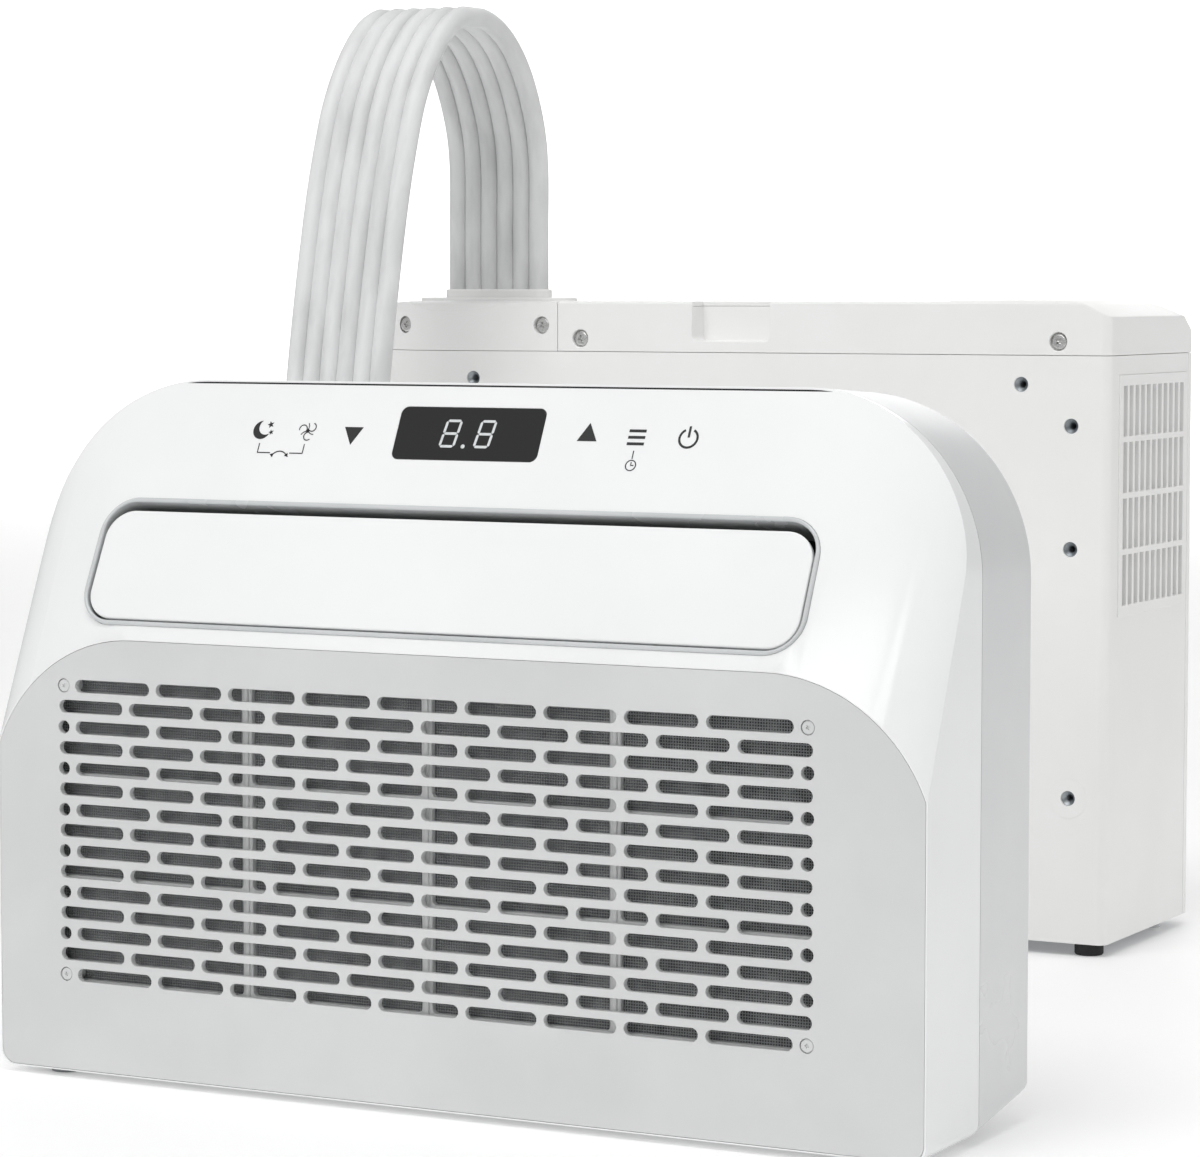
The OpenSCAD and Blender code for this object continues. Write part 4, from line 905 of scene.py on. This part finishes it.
def cabinetPlan(inset, z0, z1):
    # plan outline stood up from z0 to z1, with the left part of the front swelling forward
    w, d, out, r = cabinet["halfWidth"] - inset, cabinet["depth"] - inset, cabinet["bulge"], cabinet["bulgeR"] - inset
    swell = -cabinet["halfWidth"] + cabinet["bulgeR"] + 15
    bm = bmesh.new()
    frontR, rearR = max(cabinet["frontR"] - inset, 1), cabinet["rearR"] - inset
    corners = [(w, inset, frontR), (w, d, rearR), (-w, d, rearR), (-w, inset - out, r),
               (swell, inset - out, 0),
               (swell + cabinet["blend"], inset, 0)]
    verts = [bm.verts.new((x, y, z0)) for x, y, c in corners]
    bm.faces.new(verts)
    for vert, (x, y, c) in zip(verts, corners):
        if c > 0:
            bmesh.ops.bevel(bm, geom=[vert], offset=c, offset_type="OFFSET", affect="VERTICES",
                            segments=20 if c > 30 else 8, profile=0.5, material=-1)
    rampEnd = swell + cabinet["blend"]
    ramp = [e for e in bm.edges if e.calc_length() > 30 and all(swell - 0.1 < v.co.x < rampEnd + 0.1 for v in e.verts)]
    bmesh.ops.subdivide_edges(bm, edges=ramp, cuts=13)
    for vert in bm.verts:
        if swell < vert.co.x < rampEnd and vert.co.y < 20:
            t = (rampEnd - vert.co.x)/cabinet["blend"]
            vert.co.y = inset - out*(1 - cos(pi*t))/2
    pull(bm, (0, 0, z1 - z0))
    return bm


def frontAt(x):
    w, r, out = cabinet["halfWidth"], cabinet["bulgeR"], cabinet["bulge"]
    if x < r - w:
        return r - out - sqrt(r*r - (x + w - r)**2)
    if x < r + 15 - w:
        return -out
    if x < r + 15 - w + cabinet["blend"]:
        return -out*(1 - cos(pi*(r + 15 - w + cabinet["blend"] - x)/cabinet["blend"]))/2
    return 0.0


threads = [(-143, 287), (177, 287), (204.5, 266), (204.5, 203), (204.5, 75)]
dimples = [(201, 250), (199.3, 233.5)]
sideVent = {"y0": 14, "y1": 116, "z0": 168, "z1": 292, "rows": 4, "columns": 11, "proud": 0.8}


def threadRidge(outer, inner, pitch):
    # one thread ridge: a three-cornered section spun to a closed ring
    bm = bmesh.new()
    corners = [bm.verts.new(spot) for spot in ((outer, 0, -pitch/2), (inner, 0, 0), (outer, 0, pitch/2))]
    section = [bm.edges.new((corners[i], corners[i - 1])) for i in range(3)]
    bmesh.ops.spin(bm, geom=corners + section, cent=(0, 0, 0), axis=(0, 0, 1), angle=2*pi, steps=24,
                   use_merge=True)
    bmesh.ops.recalc_face_normals(bm, faces=bm.faces[:])
    return bm


def addOutdoorShell():
    halfBack = (2*cabinet["halfWidth"] - 2*cabinet["rearR"] - 6)/2 + 0.1
    cuts = [cabinetPlan(cabinet["wall"], -5, 310), brick(-halfBack, 128, -5, halfBack, 140, 310),
            brick(221, sideVent["y0"], sideVent["z0"], 230, sideVent["y1"], sideVent["z1"])]
    for x, z in threads:
        cuts.append(turned(rod(3.9, 12, 32), Matrix.Translation((x, frontAt(x) + 6, z)) @ toRoom))
    # a fine joint line down each end
    for way, inner, outer in ((1, 0.7, 0.5), (-1, 0.5, 0.7)):
        x = way*cabinet["halfWidth"]
        cuts.append(brick(x - inner, 118.6, -5, x + outer, 119.4, 310))
    for x, z in dimples:
        dent = bmesh.new()
        bmesh.ops.create_uvsphere(dent, u_segments=24, v_segments=12, radius=4)
        cuts.append(turned(dent, Matrix.Translation((x, -3.75, z))))
    shell = carved(cabinetPlan(0, 0, cabinet["body"] - 0.25), cuts)
    # a raised ring round the lowest thread
    ring = rod(10.2, 0.4, 64)
    ring = carved(ring, [turned(rod(3.9, 4, 32), Matrix.Translation((0, 0, -1)))])
    turned(ring, Matrix.Translation((204.5, 0.05, 75)) @ toRoom)
    finishPiece("outdoorCabinet", joined([shell, ring]), outdoorPlace, cabinetAsa, replaces=["outdoor_shell"],
                edge=0.5)
    # plated steel inserts with a countersink and thread ridges
    sleeves = []
    for x, z in threads:
        sleeve = carved(rod(3.85, 12, 32), [turned(rod(2.1, 20, 28), Matrix.Translation((0, 0, -4))),
                                           turned(rod(3.7, 1.5, 32, 2.1), Matrix.Translation((0, 0, -0.05)))])
        ridges = [turned(threadRidge(2.15, 1.82, 0.7),
                         Matrix.Translation((0, 0, 1.8 + 1.1*k))) for k in range(9)]
        whole = joined([sleeve, *ridges])
        sleeves.append(turned(whole, Matrix.Translation((x, frontAt(x) + 0.9, z)) @ toBack))
    finishPiece("threadInserts", joined(sleeves), outdoorPlace, galvanised, replaces=["threaded_inserts"],
                edge=0)


cover = {"stepX": 134.6, "step": 1.0, "pocketX": 11.5, "pocketHalf": 23, "pocketDepth": 14, "pocketZ": 308,
         "pocketSkin": 2,
         "glandX": -155, "glandY": 46, "gap": 0.12}


def coverBody(inset, z0):
    top = cabinet["height"] - inset
    body = cabinetPlan(inset, z0, top + 2)
    # side view: a rounded front edge, a flat top and a rear slope; front view: both ends fall away
    side = [(-20, z0 - 5), (-20, top - 20), (-cabinet["bulge"] - 4, top - 9), (-cabinet["bulge"], top - 6),
            (-2, top - 2.4),
           (3, top - 0.7), (8, top), (92, top), (101, top - 1.6), (108, top - 5), (118, top - 12),
            (126, top - 17), (134.5, top - 20), (134.5, z0 - 5)]
    across = bmesh.new()
    across.faces.new([across.verts.new((-240, y, z)) for y, z in side])
    pull(across, (480, 0, 0))
    ends = bmesh.new()
    w = cabinet["halfWidth"]
    line = [(-w - 2, z0 - 5), (-w - 2, top - 16), (-w + 5, top - 9.5), (-w + 15, top - 4.5),
            (-w + 27, top - 1.9),
            (-w + 40, top - cover["step"]), (cover["stepX"] - 1.5, top - cover["step"]),
            (cover["stepX"] + 1.5, top), (w - 22, top), (w - 12, top - 2.4),
            (w + 2, top - 9.5), (w + 2, z0 - 5)]
    ends.faces.new([ends.verts.new((x, -30, z)) for x, z in line])
    pull(ends, (0, 200, 0))
    return carved(body, [across, ends], "INTERSECT")


screwSeat = {"r": 4.8, "depth": 3.5, "head": 4.15, "headHeight": 2.3}


def pocketHollow():
    x, half = cover["pocketX"], cover["pocketHalf"]
    return slab(boxCorners(x - half, cover["pocketZ"], x + half, 360, 3, 0), -20, cover["pocketDepth"], 6)


def wellsAt(spots):
    # the round wells that the cover's screws sit in
    return [turned(rod(screwSeat["r"], 12, 36), Matrix.Translation((x, y + screwSeat["depth"],
                                                                    z)) @ toRoom) for x, y, z in spots]


def cupsAt(spots):
    # the cups behind the skin that hold the screws
    cups = []
    for x, y, z in spots:
        cup = carved(rod(6.4, 4, 36), [turned(rod(screwSeat["r"], 8, 36), Matrix.Translation((0, 0, 2.6)))])
        cups.append(turned(cup, Matrix.Translation((x, y + 6.1, z)) @ toRoom))
    return cups


def addTopCover():
    gap = cover["gap"]
    spots = [(cabinet["glandX"] + 14, 0, 309), (197, 0, 309)]
    cuts = [coverBody(cabinet["wall"], 299), brick(-240, -30, 295, cabinet["glandX"] + gap, 200, 345),
            pocketHollow()] + wellsAt(spots)
    shell = carved(coverBody(0, cabinet["body"]), cuts)
    # the pocket's own liner stops short of the cover's top face
    x, half, skin = cover["pocketX"], cover["pocketHalf"] + cover["pocketSkin"], cover["pocketSkin"]
    liner = slab(boxCorners(x - half, cover["pocketZ"] - skin, x + half, 326.4, 4, 0), 2.6,
                 cover["pocketDepth"] + skin, 6)
    liner = carved(liner, [pocketHollow()])
    finishPiece("topCover", joined([shell, liner, *cupsAt(spots)]), outdoorPlace, cabinetAsa,
                replaces=["top_cover"],
                edge=0.6, edgeSteps=3)
    glandTop = Matrix.Translation((cover["glandX"], cover["glandY"], cabinet["height"]))
    glandSpots = [(-189, frontAt(-189) + 0.5, 316), (-103, frontAt(-103) + 0.5, 316)]
    cuts = [coverBody(cabinet["wall"], 299), brick(cabinet["glandX"] - gap, -30, 295, 240, 200, 345),
            turned(slab(boxCorners(-32.7, -7.2, 32.7, 7.2, 6, 6), -30, 30, 8),
                   glandTop @ toRoom)] + wellsAt(glandSpots)
    housing = carved(coverBody(0, cabinet["body"]), cuts)
    finishPiece("glandHousing", joined([housing, *cupsAt(glandSpots)]), outdoorPlace, cabinetAsa,
                replaces=["gland_housing"],
                edge=0.6, edgeSteps=3)
    heads = [(x, y + screwSeat["depth"], z) for x, y, z in spots + glandSpots]
    finishPiece("coverScrews", screwsAt(heads, toRoom, screwSeat["head"], screwSeat["headHeight"], 7, 1.9),
                outdoorPlace, zincScrew,
                replaces=["cover_screws"], edge=0)
    flange = turned(slab(boxCorners(-47.5, -15, 47.5, 15, 14, 14), -0.9, 3.5, 12), glandTop @ toBack)
    collar = turned(slab(boxCorners(-32.5, -7, 32.5, 7, 6, 6), -5.5, -0.5, 8), glandTop @ toBack)
    finishPiece("outdoorHoseFlange", joined([flange, collar]), outdoorPlace, cabinetAsa,
                replaces=["outdoor_hose_flange"],
                edge=0.9, edgeSteps=3)


def addSideVent():
    y0, y1, z0, z1 = sideVent["y0"] + 0.1, sideVent["y1"] - 0.1, sideVent["z0"] + 0.1, sideVent["z1"] - 0.1
    plate = brick(222.5, y0, z0, 225 + sideVent["proud"], y1, z1)
    cellY, cellZ = (y1 - y0 - 8)/sideVent["columns"], (z1 - z0 - 8)/sideVent["rows"]
    holes = []
    for i in range(sideVent["columns"]):
        for j in range(sideVent["rows"]):
            cy, cz = y0 + 4 + (i + 0.5)*cellY, z0 + 4 + (j + 0.5)*cellZ
            holes.append(brick(215, cy - cellY/2 + 1.3, cz - cellZ/2 + 1.5, 230, cy + cellY/2 - 1.3,
                               cz + cellZ/2 - 1.5))
    plate = carved(plate, [joined(holes)])
    backing = brick(219.6, y0 + 1, z0 + 1, 220.6, y1 - 1, z1 - 1)
    finishPiece("ventBacking", backing, outdoorPlace, trimAbs, edge=0.3)
    finishPiece("sideVent", plate, outdoorPlace, cabinetAsa, replaces=["side_grille"],
                edge=0.35)


def addOutdoorFeet():
    pads = []
    for x, y in ((213, 10), (-191, 30), (191, 112), (-191, 112)):
        pad = rod(7.5, 6.5, 36)
        low = [e for e in pad.edges if all(v.co.z < 0.01 for v in e.verts)]
        bmesh.ops.bevel(pad, geom=low, offset=1.2, affect="EDGES", segments=3, profile=0.5, material=-1)
        pads.append(turned(pad, Matrix.Translation((x, y, -6.5))))
    finishPiece("outdoorPads", joined(pads), outdoorPlace, blackRubber, replaces=["rubber_feet"],
                edge=0)


addOutdoorShell()
addTopCover()
addSideVent()
addOutdoorFeet()
print("outdoor unit made")

# pieces kept from the frame get their real finish
# the duct, its vane link and the air vanes take a dark grey that is painted shade
finishes = {
    "filter_mesh": screenCloth, "flap_motor": motorSteel, "vane_link": ductPaintedShadeAbs, "scroll_housing": ductPaintedShadeAbs,
    "blower_wheel": blackAbs, "blower_motor": motorSteel, "blower_bearing": bronze,
            "evaporator_fins": finAluminium,
    "evaporator_tubes": copperTube, "drip_tray": filterFrameAbs, "control_board": boardGreen,
            "led_module": blackAbs,
    "power_inlet": blackAbs, "base_pan": galvanised, "rear_panel": cabinetAsa, "drain_nipple": trimAbs,
    "condenser_fins": finAluminium, "condenser_tubes": copperTube, "fan_shroud": cabinetAsa,
            "condenser_fan": blackAbs,
    "fan_motor": motorSteel, "motor_bracket": galvanised, "partition": galvanised, "compressor": blackPaint,
    "compressor_mounts": blackRubber, "accumulator": blackPaint, "electrical_box": galvanised,
    "run_capacitor": finAluminium}
for k in range(6):
    finishes[f"air_vane_{k + 1}"] = ductPaintedShadeAbs
for name, material in finishes.items():
    data = nodes[name].data
    data.materials.clear()
    data.materials.append(material)
print("finishes set")

# floor and studio light
studio = {"floor": "#f4f4f4", "wall": 1.0, "glow": 0.17, "low": 0.32, "high": 0.6}


def addStage():
    floorMesh = bmesh.new()
    bmesh.ops.create_grid(floorMesh, x_segments=1, y_segments=1, size=6)
    floor = asObject(floorMesh, "studioFloor")
    material, tree, shader, where = startMaterial("paleFloor", {"Base Color": linear(studio["floor"]),
                                                                "Roughness": 0.6,
                                                  "Emission Color": linear("#ffffff"),
                                                                "Emission Strength": studio["glow"]})
    cloud = addNode(tree, "ShaderNodeTexNoise", {"Scale": 1.2, "Detail": 3.0}, {"Vector": where})
    tone = stops(addNode(tree, "ShaderNodeValToRGB", {}, {"Fac": cloud.outputs["Fac"]}),
                 [(0.3, "#f1f1f1"), (0.7, "#f6f6f6")])
    tree.links.new(tone.outputs["Color"], shader.inputs["Base Color"])
    floor.data.materials.append(material)
    wallMesh = bmesh.new()
    bmesh.ops.create_grid(wallMesh, x_segments=1, y_segments=1, size=2.1)
    bmesh.ops.rotate(wallMesh, matrix=Matrix.Rotation(radians(90), 3, "X"), cent=(0, 0, 0),
                     verts=wallMesh.verts[:])
    bmesh.ops.translate(wallMesh, vec=(-2.4, 4.5, 1.0), verts=wallMesh.verts[:])
    wall = asObject(wallMesh, "studioWall")
    lit, tree, shader, where = startMaterial("litWall", {"Base Color": linear("#ffffff"), "Roughness": 1.0,
                                             "Emission Color": linear("#ffffff"),
                                                         "Emission Strength": studio["wall"]})
    wall.data.materials.append(lit)
    world = bpy.data.worlds.new("studio")
    world.use_nodes = True
    tree = world.node_tree
    where = addNode(tree, "ShaderNodeTexCoord")
    apart = addNode(tree, "ShaderNodeSeparateXYZ", {}, {"Vector": where.outputs["Generated"]})
    sky = addNode(tree, "ShaderNodeMapRange", {"interpolation_type": "SMOOTHSTEP", "From Min": 0.05,
                                               "From Max": 0.9,
                  "To Min": studio["low"], "To Max": studio["high"]}, {"Value": apart.outputs["Z"]})
    tree.links.new(sky.outputs["Result"], tree.nodes["Background"].inputs["Strength"])
    tree.nodes["Background"].inputs["Color"].default_value = linear("#ffffff")
    bpy.context.scene.world = world
    bpy.context.scene.view_settings.view_transform = "Standard"


def addLight(name, place, target, width, height, power):
    data = bpy.data.lights.new(name, "AREA")
    data.shape, data.size, data.size_y, data.energy = "RECTANGLE", width, height, power
    light = bpy.data.objects.new(name, data)
    light.location = place
    light.rotation_euler = (Vector(target) - Vector(place)).to_track_quat("-Z", "Y").to_euler()
    bpy.context.scene.collection.objects.link(light)


addStage()
addLight("overhead", (0.1, -0.9, 2.3), (0, -0.1, 0.15), 1.8, 1.2, 20)
addLight("frontLeft", (-0.2, -2.9, 1.5), (0, 0, 0.2), 1.4, 1.0, 16)
addLight("rightBack", (1.9, 1.1, 0.8), (0.15, 0.25, 0.2), 0.9, 0.9, 5)
